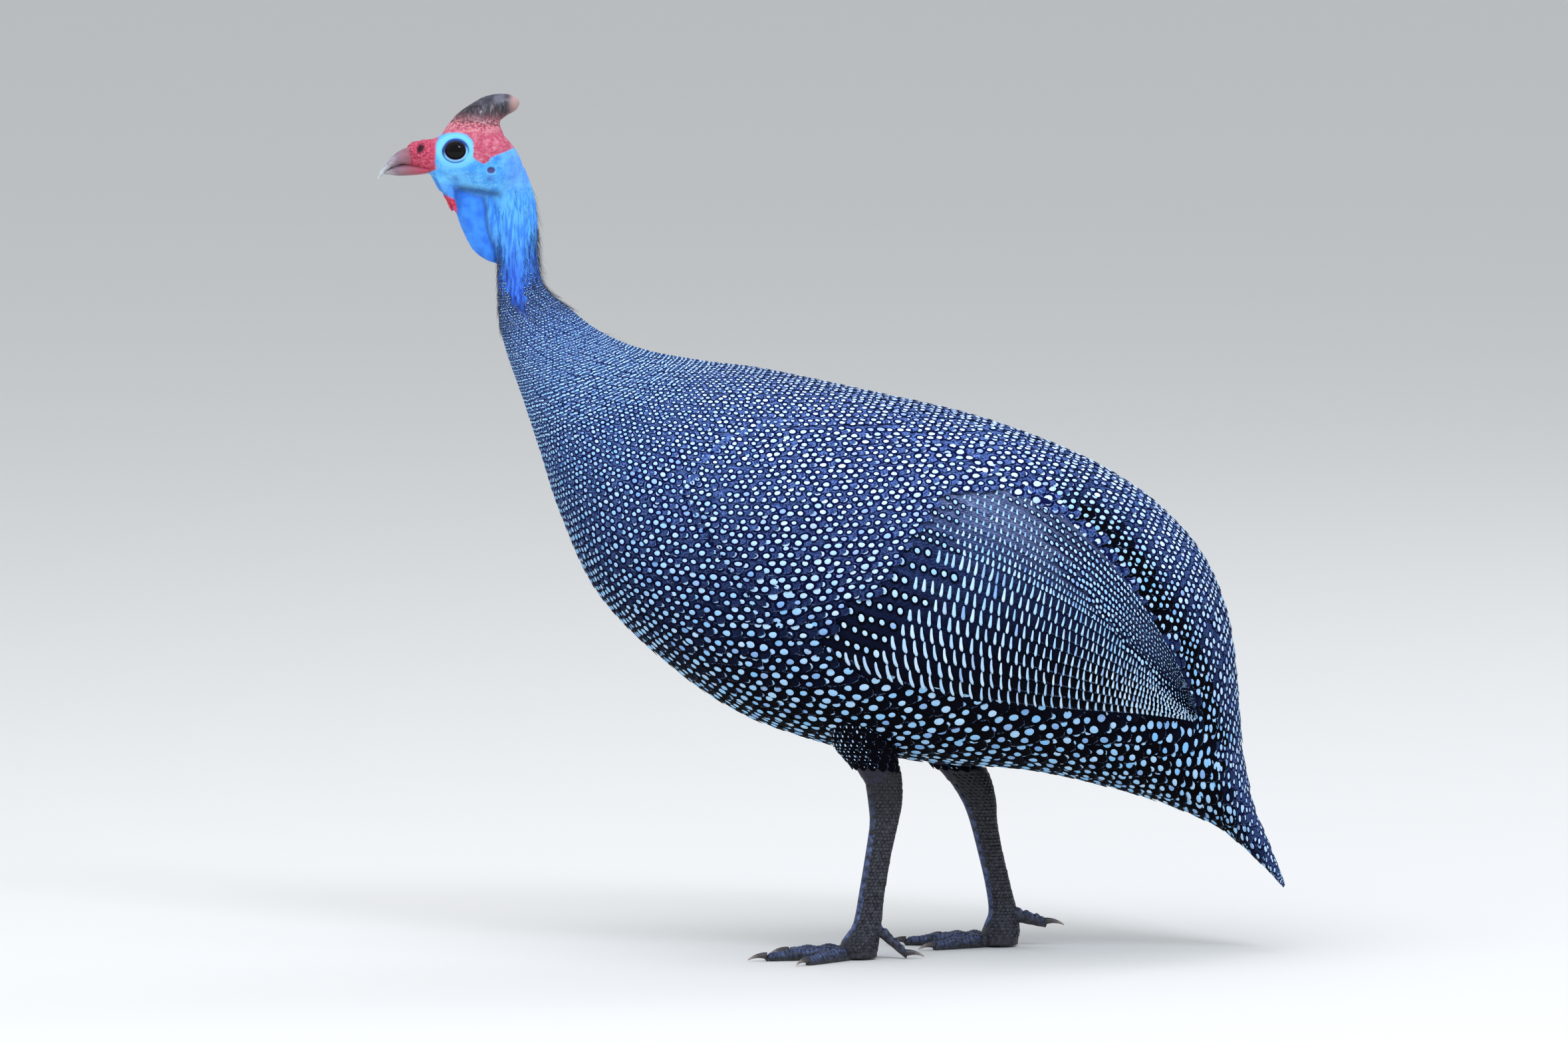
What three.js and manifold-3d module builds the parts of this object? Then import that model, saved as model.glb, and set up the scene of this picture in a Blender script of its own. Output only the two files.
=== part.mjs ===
import * as THREE from 'three';
import { mergeVertices } from 'three/addons/utils/BufferGeometryUtils.js';
import Module from 'manifold-3d';

// A helmeted guineafowl standing with one leg ahead of the other, life size, in millimetres.
// It heads along -X, its left side is towards -Y, +Z is up and the floor is z = 0.
// Every surface is the outer surface of the live bird, at the tips of its feathers.

const wasm = await Module();
wasm.setup();

// Gap between neighbouring parts
const GAP = 0.3;
// Turn of the head to the bird's left, about the top of its neck
const HEAD_TURN_DEG = 11;
const HEAD_TURN_X = -152;

// Colours
const PLUMAGE = { color: 0x3b4458, roughness: 0.85 };
const BLUE_SKIN = { color: 0x2f86dc, roughness: 0.6 };
const RED_SKIN = { color: 0xc23a55, roughness: 0.6 };
const HORN = { color: 0x80706b, roughness: 0.7 };
const BILL = { color: 0xc08f88, roughness: 0.45 };
const EYE = { color: 0x0b0908, roughness: 0.08 };
const LEG = { color: 0x2a2e39, roughness: 0.65 };
const CLAW = { color: 0x3b3533, roughness: 0.5 };

// Sections of neck, trunk and tail, from the jaw to the tip of the tail.
// Each runs from a point of the nape or back to one of the throat, breast or belly, as [x, z].
const BODY = [
  { top: [-139.5, 357], low: [-158, 349], wide: 16 },
  { top: [-134.5, 343], low: [-154, 338], wide: 17 },
  { top: [-133, 330], low: [-152, 326], wide: 17.5 },
  { top: [-133, 315], low: [-151, 312], wide: 18 },
  { top: [-130, 302], low: [-151, 297], wide: 21 },
  { top: [-120, 293], low: [-150, 283], wide: 29 },
  { top: [-105, 281.5], low: [-146.5, 270], wide: 43 },
  { top: [-86, 273.5], low: [-140.5, 253], wide: 62 },
  { top: [-61, 268.5], low: [-133, 230], wide: 84 },
  { top: [-34, 265], low: [-123, 199], wide: 108 },
  { top: [-4, 259], low: [-106, 163], wide: 129 },
  { top: [26, 252.5], low: [-79, 135], wide: 143 },
  { top: [59, 245], low: [-42, 109], wide: 150 },
  { top: [92, 234], low: [3, 93.5], wide: 150 },
  { top: [121, 221], low: [48, 86], wide: 141 },
  { top: [147, 203.5], low: [88, 83], wide: 124 },
  { top: [167, 181], low: [121, 76], wide: 102 },
  { top: [178.5, 154], low: [145, 69], wide: 79 },
  { top: [183, 123], low: [162, 62.5], wide: 59 },
  { top: [185.5, 93], low: [176, 55.5], wide: 42 },
  { top: [190.5, 67], low: [186, 47], wide: 27 },
  { top: [198, 48.5], low: [195, 38.5], wide: 14 },
  { top: [204.5, 31], low: [203.5, 29.5], wide: 2.5 },
];
const BODY_SIDES = 22;
const BODY_STEPS = 33;
// A section is a little squarer than an ellipse and widest below its middle
const BODY_FULLNESS = 0.93;
const BODY_SAG = 0.07;
const NECK_ROOT = 6;
const TAIL_ROOT = 18;

// Sections of the head, from the front of the swollen skin round the nostril to the back of the skull
const HEAD = [
  { top: [-192.1, 364.9], low: [-192.1, 357.2], wide: 9.2 },
  { top: [-188.5, 367.5], low: [-188.5, 355.8], wide: 11.5 },
  { top: [-184, 368.4], low: [-184, 353.7], wide: 14 },
  { top: [-179, 369.3], low: [-179, 350.9], wide: 19 },
  { top: [-174.5, 371.8], low: [-174.5, 347.7], wide: 22.5 },
  { top: [-169.5, 373.4], low: [-169.5, 345.2], wide: 24.2 },
  { top: [-161, 374.6], low: [-161, 342.2], wide: 25.5 },
  { top: [-153, 373.7], low: [-153, 340.2], wide: 25 },
  { top: [-148, 369.7], low: [-147, 340.2], wide: 22 },
  { top: [-143.2, 364], low: [-142.5, 342.2], wide: 16 },
  { top: [-139.8, 357.5], low: [-139.8, 347.2], wide: 8 },
];
const HEAD_SIDES = 16;
const HEAD_STEPS = 12;

// Lobes of bare skin on either side of the nostril
const NOSTRIL_LOBE = { at: [-187.5, 4.2, 363.7], radii: [4.6, 2.4, 3.6] };

// The loose fold of skin down the middle of the throat
const THROAT_FOLD = [
  { top: [-150, 349], low: [-170, 349], wide: 13 },
  { top: [-150, 341], low: [-169.6, 339], wide: 13 },
  { top: [-149, 334], low: [-168.6, 332], wide: 11.5 },
  { top: [-148, 327], low: [-166.3, 325.5], wide: 9.5 },
  { top: [-148, 320], low: [-162, 318], wide: 7 },
  { top: [-148, 315], low: [-156, 313.6], wide: 4.5 },
  { top: [-149, 312.5], low: [-151.5, 312], wide: 2 },
];
// Line of the jaw, where the head is parted from the neck
const JAW = { at: [-170.5, 346.2], slope: -0.19 };

// Eyes: lens-shaped, in a ring of lid
const EYE_AT = [-172, 9.4, 364];
const EYE_RADII = [4.9, 3.2, 4.4];
const EYE_FORWARD_DEG = 13;
const LID_RADIUS = 5;
const LID_FLATNESS = 0.88;
const LID_THICKNESS = 1;
const LID_OUT = 0.7;

// The horny casque, from under the skin of the crown to its blunt tip.
// Below its seat it is covered with skin and belongs to the head.
const CASQUE = [
  { top: [-179, 366], low: [-147.5, 362], wide: 24 },
  { top: [-176, 371.7], low: [-148.4, 370.3], wide: 18.5 },
  { top: [-172.6, 376.5], low: [-149.8, 374.5], wide: 14.2 },
  { top: [-168.2, 381], low: [-149.8, 376.6], wide: 11.5 },
  { top: [-163, 384.4], low: [-148.2, 378.1], wide: 9.8 },
  { top: [-157.2, 387.5], low: [-146.1, 379.3], wide: 8.6 },
  { top: [-151, 388.8], low: [-144, 380.5], wide: 7.4 },
  { top: [-145, 388.2], low: [-142.1, 381.8], wide: 5.8 },
  { top: [-141.6, 386.4], low: [-141, 383.8], wide: 3 },
];
const CASQUE_SEAT_Z = 376;
const CASQUE_SEAT_SLOPE = -0.06;

// The bill: a hooked upper half over a shorter lower one
const BILL_UPPER = [
  { top: [-192.4, 365.1], low: [-192.4, 356.9], wide: 8.8 },
  { top: [-195.9, 363.7], low: [-194.4, 357.4], wide: 7.8 },
  { top: [-199.4, 361.2], low: [-197.6, 357], wide: 6.4 },
  { top: [-202.4, 358.1], low: [-200.8, 355.5], wide: 4.6 },
  { top: [-204.8, 354.3], low: [-203.7, 352.9], wide: 2.6 },
  { top: [-206.1, 350.6], low: [-205.7, 350.2], wide: 0.9 },
];
const BILL_LOWER = [
  { top: [-181.9, 356.2], low: [-182.9, 353.3], wide: 11 },
  { top: [-186.9, 357.2], low: [-186.9, 352.7], wide: 9.4 },
  { top: [-191.4, 357.7], low: [-191.4, 352.4], wide: 7.8 },
  { top: [-195.9, 357.3], low: [-195.9, 352.3], wide: 6.2 },
  { top: [-200.2, 355.9], low: [-199.8, 352.7], wide: 4.4 },
  { top: [-203.4, 354], low: [-203, 353], wide: 1.4 },
];

// Wattles: narrow flaps that hang from the corners of the gape
const WATTLE = [
  { top: [-181.2, 353.4], low: [-173.1, 353.4], wide: 2.8, side: 6.2 },
  { top: [-179.6, 349.5], low: [-173.2, 349.3], wide: 2.7, side: 5.9 },
  { top: [-178, 345.8], low: [-173, 345.6], wide: 2.4, side: 5.7 },
  { top: [-175.8, 342.7], low: [-172.4, 342.6], wide: 2.1, side: 5.5 },
  { top: [-174, 339.6], low: [-171.3, 339.6], wide: 1.9, side: 5.4 },
  { top: [-172.2, 336.9], low: [-170.2, 336.9], wide: 1.6, side: 5.4 },
  { top: [-170.9, 335.4], low: [-170, 335.3], wide: 0.9, side: 5.4 },
];

// Folded wings: each lies on the flank as a shallow lens, from the shoulder to its tip over the rump
const WING = [
  { top: [-66, 216], low: [-65, 211] },
  { top: [-52, 234], low: [-51, 187] },
  { top: [-22, 245], low: [-22, 152] },
  { top: [20, 243], low: [14, 133.5] },
  { top: [62, 229], low: [50, 124] },
  { top: [98, 207], low: [83, 118.5] },
  { top: [128, 178.5], low: [113, 116] },
  { top: [149, 147], low: [139, 113.5] },
  { top: [161, 121], low: [157.5, 110.5] },
  { top: [165.5, 110.5], low: [165, 108.5] },
];
const WING_STEPS = 16;
const WING_SIDES = 14;
const WING_BULGE = 4.5;
const WING_SUNK = 2.6;
const WING_EDGE = 0.5;
const WING_END_THICKNESS = 0.3;

// Legs. The left one is ahead, bearing the bird; the right one is behind.
const LEGS = {
  left: {
    side: -1,
    thigh: [
      { at: [10, 40, 118], depth: 30, wide: 26 },
      { at: [14, 36, 98], depth: 29, wide: 23 },
      { at: [19, 33, 87], depth: 22, wide: 16 },
      { at: [22.5, 31.5, 77], depth: 17, wide: 12 },
      { at: [23.5, 31, 71], depth: 12, wide: 9 },
    ],
    shank: [
      { at: [23.5, 31, 80], depth: 10, wide: 7.5 },
      { at: [23.5, 31, 70], depth: 15, wide: 9.6 },
      { at: [23, 30.5, 62], depth: 13, wide: 8.6 },
      { at: [20.5, 30, 48], depth: 11.8, wide: 7.6 },
      { at: [17.5, 29, 30], depth: 11.6, wide: 8 },
      { at: [15.2, 28.5, 15], depth: 13, wide: 11 },
      { at: [12, 28, 7], depth: 17.5, wide: 16.5 },
      { at: [11, 28, 0], depth: 18, wide: 17 },
    ],
    foot: [11, 28],
    yaw: 14,
    hind: { at: [20.5, 28, 14], droop: 40 },
  },
  right: {
    side: 1,
    thigh: [
      { at: [36, 40, 118], depth: 30, wide: 26 },
      { at: [46, 36, 96], depth: 29, wide: 23 },
      { at: [55, 33, 83], depth: 24, wide: 17 },
      { at: [63, 31, 71.5], depth: 19, wide: 12.5 },
      { at: [66.5, 30, 64], depth: 12, wide: 9 },
    ],
    shank: [
      { at: [64, 31, 75], depth: 10, wide: 7.5 },
      { at: [66.5, 30, 65], depth: 15, wide: 9.6 },
      { at: [68.2, 29.5, 57], depth: 12.6, wide: 8.6 },
      { at: [71, 29, 44], depth: 11.4, wide: 7.6 },
      { at: [74.5, 28.5, 29], depth: 11.4, wide: 8 },
      { at: [77, 28, 15], depth: 13, wide: 11 },
      { at: [76, 28, 7], depth: 17.5, wide: 16.5 },
      { at: [75, 28, 0], depth: 18, wide: 17 },
    ],
    foot: [75, 28],
    yaw: 6,
    hind: { at: [84, 28, 14.5], droop: 12 },
  },
};
const LEG_SIDES = 10;
const THIGH_STEPS = 5;
const SHANK_STEPS = 10;

// Front toes: turn from straight ahead, length to the root of the claw
const FRONT_TOES = {
  inner: { turn: -38, length: 31 },
  middle: { turn: 0, length: 39 },
  outer: { turn: 38, length: 33 },
};
const TOE_STEPS = 8;
const TOE_SIDES = 7;
const TOE_START = 4;
const TOE_WIDE = [5.6, 4.4];
const TOE_HIGH = [6.8, 4];
const TOE_PADS = 3;
const TOE_PAD_SWELL = 0.08;
const HIND_TOE_LENGTH = 13;
const HIND_TOE_WIDE = [5.6, 4];
const CLAW_STEPS = 4;
const CLAW_SIDES = 6;
const CLAW_LENGTH = 9.5;
const CLAW_RADIUS = 1.7;
const CLAW_CURL_DEG = 45;
// A claw first rises from its toe, then curls down to just above the floor
const CLAW_RISE_DEG = 12;
const CLAW_LIFT = 0.4;

const radians = THREE.MathUtils.degToRad;
const lerp = THREE.MathUtils.lerp;

// Closed solid of a geometry, turned so that it faces outwards
function solid(geometry) {
  const bare = geometry.clone();
  bare.deleteAttribute('normal');
  bare.deleteAttribute('uv');
  const merged = mergeVertices(bare, 1e-4);
  const triVerts = new Uint32Array(merged.index.array);
  const made = () => new wasm.Manifold(new wasm.Mesh({
    numProp: 3,
    vertProperties: new Float32Array(merged.attributes.position.array),
    triVerts,
  }));
  const first = made();
  if (first.volume() > 0) return first;
  for (let i = 0; i < triVerts.length; i += 3) {
    [triVerts[i + 1], triVerts[i + 2]] = [triVerts[i + 2], triVerts[i + 1]];
  }
  return made();
}

function geometryOf(body) {
  const mesh = body.getMesh();
  const points = [];
  for (let i = 0; i < mesh.numVert; i += 1) {
    const start = i * mesh.numProp;
    points.push(...mesh.vertProperties.subarray(start, start + 3));
  }
  const geometry = new THREE.BufferGeometry();
  geometry.setAttribute('position', new THREE.Float32BufferAttribute(points, 3));
  geometry.setIndex([...mesh.triVerts]);
  geometry.computeVertexNormals();
  return geometry;
}

// Closed tube whose points are placed by a function of the way along it and the direction round it
function tube(place, steps, sides) {
  const shape = new THREE.CylinderGeometry(1, 1, 1, sides, steps);
  const points = shape.getAttribute('position');
  for (let i = 0; i < points.count; i += 1) {
    const spot = place(0.5 - points.getY(i), points.getZ(i), points.getX(i));
    points.setXYZ(i, spot.x, spot.y, spot.z);
  }
  return shape;
}

function smooth(points) {
  return new THREE.CatmullRomCurve3(points, false, 'centripetal');
}

function rounder(value, power) {
  return Math.sign(value) * Math.abs(value) ** power;
}

// Skin through upright sections, each given by its two ends in the plane of symmetry and its width
function loft(rows, { steps, sides, grow = 0, fullness = 1, sag = 0, side = 1 }) {
  const edge = (key) => smooth(rows.map((row) => new THREE.Vector3(row[key][0], row.wide / 2, row[key][1])));
  const middle = smooth(rows.map((row, i) => new THREE.Vector3(i, side * (row.side ?? 0), 0)));
  const top = edge('top');
  const low = edge('low');
  return tube((t, c, s) => {
    const upper = top.getPoint(t);
    const lower = low.getPoint(t);
    const half = upper.clone().sub(lower).setY(0).multiplyScalar(0.5);
    const centre = upper.clone().add(lower).multiplyScalar(0.5).setY(middle.getPoint(t).y);
    const wide = (upper.y + grow) * (1 - sag * c);
    half.setLength(half.length() + grow);
    return centre.addScaledVector(half, rounder(c, fullness)).add(new THREE.Vector3(0, wide * rounder(s, fullness), 0));
  }, steps, sides);
}

// Limb through level sections, each given by its centre, its depth along X and its width along Y
function limb(rows, side, { steps, sides, grow = 0 }) {
  const line = smooth(rows.map(({ at }) => new THREE.Vector3(at[0], side * at[1], at[2])));
  const size = smooth(rows.map(({ depth, wide }, i) => new THREE.Vector3(depth / 2, wide / 2, i)));
  return tube((t, c, s) => {
    const { x, y } = size.getPoint(t);
    return line.getPoint(t).add(new THREE.Vector3((x + grow) * c, (y + grow) * s, 0));
  }, steps, sides);
}

function ellipsoid(radii, sides) {
  return new THREE.SphereGeometry(1, sides, sides / 2).scale(...radii);
}

// Box that fills everything on one side of a plane square to the plane of symmetry
const REACH = 1200;
function beyond(x, z, direction) {
  const turned = new THREE.BoxGeometry(REACH, REACH, REACH).translate(0, 0, REACH / 2);
  turned.applyQuaternion(new THREE.Quaternion().setFromUnitVectors(
    new THREE.Vector3(0, 0, 1),
    new THREE.Vector3(direction[0], 0, direction[1]).normalize(),
  ));
  return solid(turned.translate(x, 0, z));
}

// A body parted by a thin plane cut: the piece ahead of the cut along the direction and the piece behind it
function part(body, x, z, direction) {
  const length = Math.hypot(...direction);
  const [dx, dz] = direction.map((value) => value / length * GAP);
  return [
    body.intersect(beyond(x, z, direction)),
    body.intersect(beyond(x - dx, z - dz, [-dx, -dz])),
  ];
}

// Direction along the body, square to the section with the given number
function acrossSection(index) {
  const { top, low } = BODY[index];
  return { x: low[0], z: low[1], direction: [top[1] - low[1], low[0] - top[0]] };
}

function bodyLoft(grow = 0) {
  return loft(BODY, { steps: BODY_STEPS, sides: BODY_SIDES, grow, fullness: BODY_FULLNESS, sag: BODY_SAG });
}

// Half the width of the trunk at a point of its side view
const trunkHull = new THREE.Mesh(bodyLoft(), new THREE.MeshBasicMaterial({ side: THREE.DoubleSide }));
function flank(x, z) {
  const ray = new THREE.Raycaster(new THREE.Vector3(x, REACH, z), new THREE.Vector3(0, -1, 0));
  const hit = ray.intersectObject(trunkHull)[0];
  return hit ? hit.point.y : 0;
}

function wing(side, grow = 0) {
  const edge = (key) => smooth(WING.map((row) => new THREE.Vector3(row[key][0], 0, row[key][1])));
  const top = edge('top');
  const low = edge('low');
  return tube((t, c, s) => {
    const upper = top.getPoint(t);
    const lower = low.getPoint(t);
    const half = upper.clone().sub(lower).multiplyScalar(0.5);
    const centre = upper.clone().add(lower).multiplyScalar(0.5);
    centre.x += grow * (2 * t - 1);
    half.setLength(half.length() + grow);
    const spot = centre.addScaledVector(half, c);
    const slim = lerp(WING_END_THICKNESS, 1, Math.sqrt(Math.max(0, Math.sin(Math.PI * t))));
    const out = WING_EDGE + s * slim * (s > 0 ? WING_BULGE : WING_SUNK);
    return spot.setY(side * (flank(spot.x, spot.z) + out + grow * s));
  }, WING_STEPS, WING_SIDES);
}

// Front toe with a flat underside on the floor
function toe(length, wide, high, droop) {
  return tube((t, c, s) => {
    const swell = 1 + TOE_PAD_SWELL * Math.cos(2 * Math.PI * TOE_PADS * t);
    const tip = Math.sqrt(Math.max(0.2, 1 - Math.max(0, (t - 0.86) / 0.14) ** 2));
    const height = lerp(high[0], high[1], t) * swell * tip;
    const width = lerp(wide[0], wide[1], t) * swell * tip;
    const z = height * 0.42 + height * 0.58 * c;
    return new THREE.Vector3(-length * t, width / 2 * s, droop ? z - length * t * droop : Math.max(0, z));
  }, TOE_STEPS, TOE_SIDES);
}

// Curved claw that leaves the origin forwards, along -X and slightly up, and bends down to its tip
function claw(grow = 0) {
  const curl = radians(CLAW_CURL_DEG);
  const bend = CLAW_LENGTH / curl;
  return tube((t, c, s) => {
    const angle = curl * t;
    const radius = CLAW_RADIUS * (1 - 0.82 * t) + grow;
    return new THREE.Vector3(
      -bend * Math.sin(angle) - radius * c * Math.sin(angle),
      radius * 0.8 * s,
      -bend * (1 - Math.cos(angle)) + radius * c * Math.cos(angle),
    );
  }, CLAW_STEPS, CLAW_SIDES).rotateY(radians(CLAW_RISE_DEG));
}

const group = new THREE.Group();
group.name = 'guineafowl';
function add(name, body, look) {
  const mesh = new THREE.Mesh(geometryOf(body), new THREE.MeshStandardMaterial({ metalness: 0, ...look }));
  mesh.name = name;
  group.add(mesh);
}

function turnHead(geometry) {
  return geometry.translate(-HEAD_TURN_X, 0, 0).rotateZ(radians(HEAD_TURN_DEG)).translate(HEAD_TURN_X, 0, 0);
}

function buildHead() {
  const made = (rows, steps, sides, more) => solid(turnHead(loft(rows, { steps, sides, ...more })));
  const skull = made(HEAD, HEAD_STEPS, HEAD_SIDES);
  const fold = made(THROAT_FOLD, 8, 10);
  let flesh = solid(bodyLoft()).add(skull).add(fold);
  const upper = made(BILL_UPPER, 8, 10);
  const upperRoom = made(BILL_UPPER, 8, 10, { grow: GAP });
  const lower = made(BILL_LOWER, 7, 9).subtract(upperRoom);
  flesh = flesh.subtract(made(BILL_LOWER, 7, 9, { grow: GAP })).subtract(upperRoom);
  const seat = (z) => turnHead(new THREE.BoxGeometry(60, 60, 40).translate(0, 0, 20)
    .rotateY(-Math.atan(CASQUE_SEAT_SLOPE)).translate(-161, 0, z));
  const horn = made(CASQUE, 10, 11);
  const casque = horn.intersect(solid(seat(CASQUE_SEAT_Z + GAP)));
  flesh = flesh.add(horn).subtract(solid(seat(CASQUE_SEAT_Z)));
  for (const [name, side] of [['left', -1], ['right', 1]]) {
    const aim = (geometry) => turnHead(geometry.rotateZ(side * radians(EYE_FORWARD_DEG))
      .translate(EYE_AT[0], side * EYE_AT[1], EYE_AT[2]));
    const lid = aim(new THREE.TorusGeometry(LID_RADIUS, LID_THICKNESS, 5, 14).rotateX(Math.PI / 2)
      .scale(1, 1, LID_FLATNESS).translate(0, side * LID_OUT, 0));
    const lobe = turnHead(ellipsoid(NOSTRIL_LOBE.radii, 8)
      .translate(NOSTRIL_LOBE.at[0], side * NOSTRIL_LOBE.at[1], NOSTRIL_LOBE.at[2]));
    flesh = flesh.add(solid(lid)).add(solid(lobe).subtract(upperRoom));
    flesh = flesh.subtract(solid(aim(ellipsoid(EYE_RADII.map((radius) => radius + GAP), 14))));
    flesh = flesh.subtract(made(WATTLE, 5, 7, { grow: GAP, side }));
    add(`eye_${name}`, solid(aim(ellipsoid(EYE_RADII, 14))), EYE);
    add(`wattle_${name}`, made(WATTLE, 5, 7, { side }), RED_SKIN);
  }
  add('bill_upper', upper, BILL);
  add('bill_lower', lower, BILL);
  add('casque', casque, HORN);
  const [head, rest] = part(flesh, ...JAW.at, [-JAW.slope, 1]);
  add('head', head, BLUE_SKIN);
  return rest;
}

function buildFoot(name, { side, foot, yaw, hind }, shankRoom) {
  const set = (geometry, turn, at) => geometry.rotateZ(-side * radians(turn)).translate(at[0], side * at[1], at[2]);
  const toes = Object.entries(FRONT_TOES).map(([which, { turn, length }]) => ({
    which, turn: turn + yaw, length, wide: TOE_WIDE, high: TOE_HIGH, droop: 0, at: [foot[0], foot[1], 0], from: TOE_START,
  }));
  toes.push({
    which: 'hind', turn: 180, length: HIND_TOE_LENGTH, wide: HIND_TOE_WIDE, high: HIND_TOE_WIDE,
    droop: Math.tan(radians(hind.droop)), at: [hind.at[0], hind.at[1], hind.at[2] - HIND_TOE_WIDE[0] / 2], from: 0,
  });
  for (const { which, turn, length, wide, high, droop, at, from } of toes) {
    const lift = high[1] * 0.5 + CLAW_LIFT;
    const onToe = (geometry) => set(geometry.translate(-length - from + 1.2, 0, lift - length * droop), turn, at);
    const body = solid(set(toe(length, wide, high, droop).translate(-from, 0, 0), turn, at));
    add(`toe_${name}_${which}`, body.subtract(shankRoom).subtract(solid(onToe(claw(GAP)))), LEG);
    add(`claw_${name}_${which}`, solid(onToe(claw())), CLAW);
  }
}

function buildLegs(trunk) {
  let carved = trunk;
  for (const [name, leg] of Object.entries(LEGS)) {
    const thigh = solid(limb(leg.thigh, leg.side, { steps: THIGH_STEPS, sides: LEG_SIDES }));
    const shank = solid(limb(leg.shank, leg.side, { steps: SHANK_STEPS, sides: LEG_SIDES }));
    const shankRoom = solid(limb(leg.shank, leg.side, { steps: SHANK_STEPS, sides: LEG_SIDES, grow: GAP }));
    carved = carved.subtract(solid(limb(leg.thigh, leg.side, { steps: THIGH_STEPS, sides: LEG_SIDES, grow: GAP })));
    add(`thigh_${name}`, thigh.subtract(shankRoom), PLUMAGE);
    add(`shank_${name}`, shank, LEG);
    buildFoot(name, leg, shankRoom);
  }
  return carved;
}

function buildBody() {
  const rest = buildHead();
  const neckCut = acrossSection(NECK_ROOT);
  const tailCut = acrossSection(TAIL_ROOT);
  const [behindNeck, neck] = part(rest, neckCut.x, neckCut.z, neckCut.direction);
  const [tail, trunk] = part(behindNeck, tailCut.x, tailCut.z, tailCut.direction);
  let carved = buildLegs(trunk);
  for (const [name, side] of [['left', -1], ['right', 1]]) {
    add(`wing_${name}`, solid(wing(side)), PLUMAGE);
    carved = carved.subtract(solid(wing(side, GAP)));
  }
  add('neck', neck, BLUE_SKIN);
  add('trunk', carved, PLUMAGE);
  add('tail', tail, PLUMAGE);
}

buildBody();

// The middle of the bird's length stands at x = 0
const extent = new THREE.Box3().setFromObject(group);
group.position.x = -(extent.min.x + extent.max.x) / 2;
group.position.y = -(extent.min.y + extent.max.y) / 2;

export default group;
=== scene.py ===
import math

import bmesh
import bpy
import numpy as np
from mathutils import Matrix, Vector, noise
from mathutils.bvhtree import BVHTree


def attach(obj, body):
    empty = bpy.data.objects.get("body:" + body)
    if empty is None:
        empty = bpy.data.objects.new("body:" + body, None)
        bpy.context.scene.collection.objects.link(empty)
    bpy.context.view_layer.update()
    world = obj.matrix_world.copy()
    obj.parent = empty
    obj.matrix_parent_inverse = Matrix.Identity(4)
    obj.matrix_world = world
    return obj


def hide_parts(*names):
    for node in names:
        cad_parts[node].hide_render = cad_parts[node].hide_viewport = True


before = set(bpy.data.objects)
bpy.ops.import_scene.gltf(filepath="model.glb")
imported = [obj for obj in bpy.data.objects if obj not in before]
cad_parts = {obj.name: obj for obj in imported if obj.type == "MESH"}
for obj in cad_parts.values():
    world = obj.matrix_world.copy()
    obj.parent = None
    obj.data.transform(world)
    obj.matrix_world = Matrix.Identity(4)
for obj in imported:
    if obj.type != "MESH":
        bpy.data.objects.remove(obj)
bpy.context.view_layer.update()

# A helmeted guineafowl, life size. The tables are in millimetres, the scene in metres.
# The bird heads along -X, its left side is towards -Y, +Z is up and the floor is z = 0.
MM = 0.001
# Shift along X, in millimetres, that brings the middle of the box to x = 0
CENTRE_X = 0.3095
SEED = 7
random = np.random.RandomState(SEED)

# Turn of the head to the bird's left, about the top of its neck
HEAD_TURN = math.radians(11)
HEAD_TURN_X = -152

# Sections of neck, trunk and tail: nape or back (x, z), throat or belly (x, z), width
BODY = [
    ((-139.5, 357), (-158, 349), 16),
    ((-134.5, 343), (-154, 338), 17),
    ((-133, 330), (-152, 326), 17.5),
    ((-133, 315), (-151, 312), 18),
    ((-130, 302), (-151, 297), 21),
    ((-120, 293), (-150, 283), 29),
    ((-105, 281.5), (-146.5, 270), 43),
    ((-86, 273.5), (-140.5, 253), 62),
    ((-61, 268.5), (-133, 230), 84),
    ((-34, 265), (-123, 199), 108),
    ((-4, 259), (-106, 163), 129),
    ((26, 252.5), (-79, 135), 143),
    ((59, 245), (-42, 109), 150),
    ((92, 234), (3, 93.5), 150),
    ((121, 221), (48, 86), 141),
    ((147, 203.5), (88, 83), 124),
    ((167, 181), (121, 76), 102),
    ((178.5, 154), (145, 69), 79),
    ((183, 123), (162, 62.5), 59),
    ((185.5, 93), (176, 55.5), 42),
    ((190.5, 67), (186, 47), 27),
    ((198, 48.5), (195, 38.5), 14),
    ((204.5, 31), (203.5, 29.5), 2.5),
]
BODY_FULLNESS = 0.93
BODY_SAG = 0.07

# Sections of the head, the throat fold, the casque, the bill and a wattle, before the head turns
HEAD = [
    ((-192.1, 364.9), (-192.1, 357.2), 9.2),
    ((-188.5, 367.5), (-188.5, 355.8), 11.5),
    ((-184, 368.4), (-184, 353.7), 14),
    ((-179, 369.3), (-179, 350.9), 19),
    ((-174.5, 371.8), (-174.5, 347.7), 22.5),
    ((-169.5, 373.4), (-169.5, 345.2), 24.2),
    ((-161, 374.6), (-161, 342.2), 25.5),
    ((-153, 373.7), (-153, 340.2), 25),
    ((-148, 369.7), (-147, 340.2), 22),
    ((-143.2, 364), (-142.5, 342.2), 16),
    ((-139.8, 357.5), (-139.8, 347.2), 8),
]
THROAT_FOLD = [
    ((-150, 349), (-171.4, 349), 13),
    ((-150, 341), (-170.8, 339), 13),
    ((-149, 334), (-169, 332), 11.5),
    ((-148, 327), (-166.3, 325.5), 9.5),
    ((-148, 320), (-162, 318), 7),
    ((-148, 315), (-156, 313.6), 4.5),
    ((-149, 312.5), (-151.5, 312), 2),
]
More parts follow.
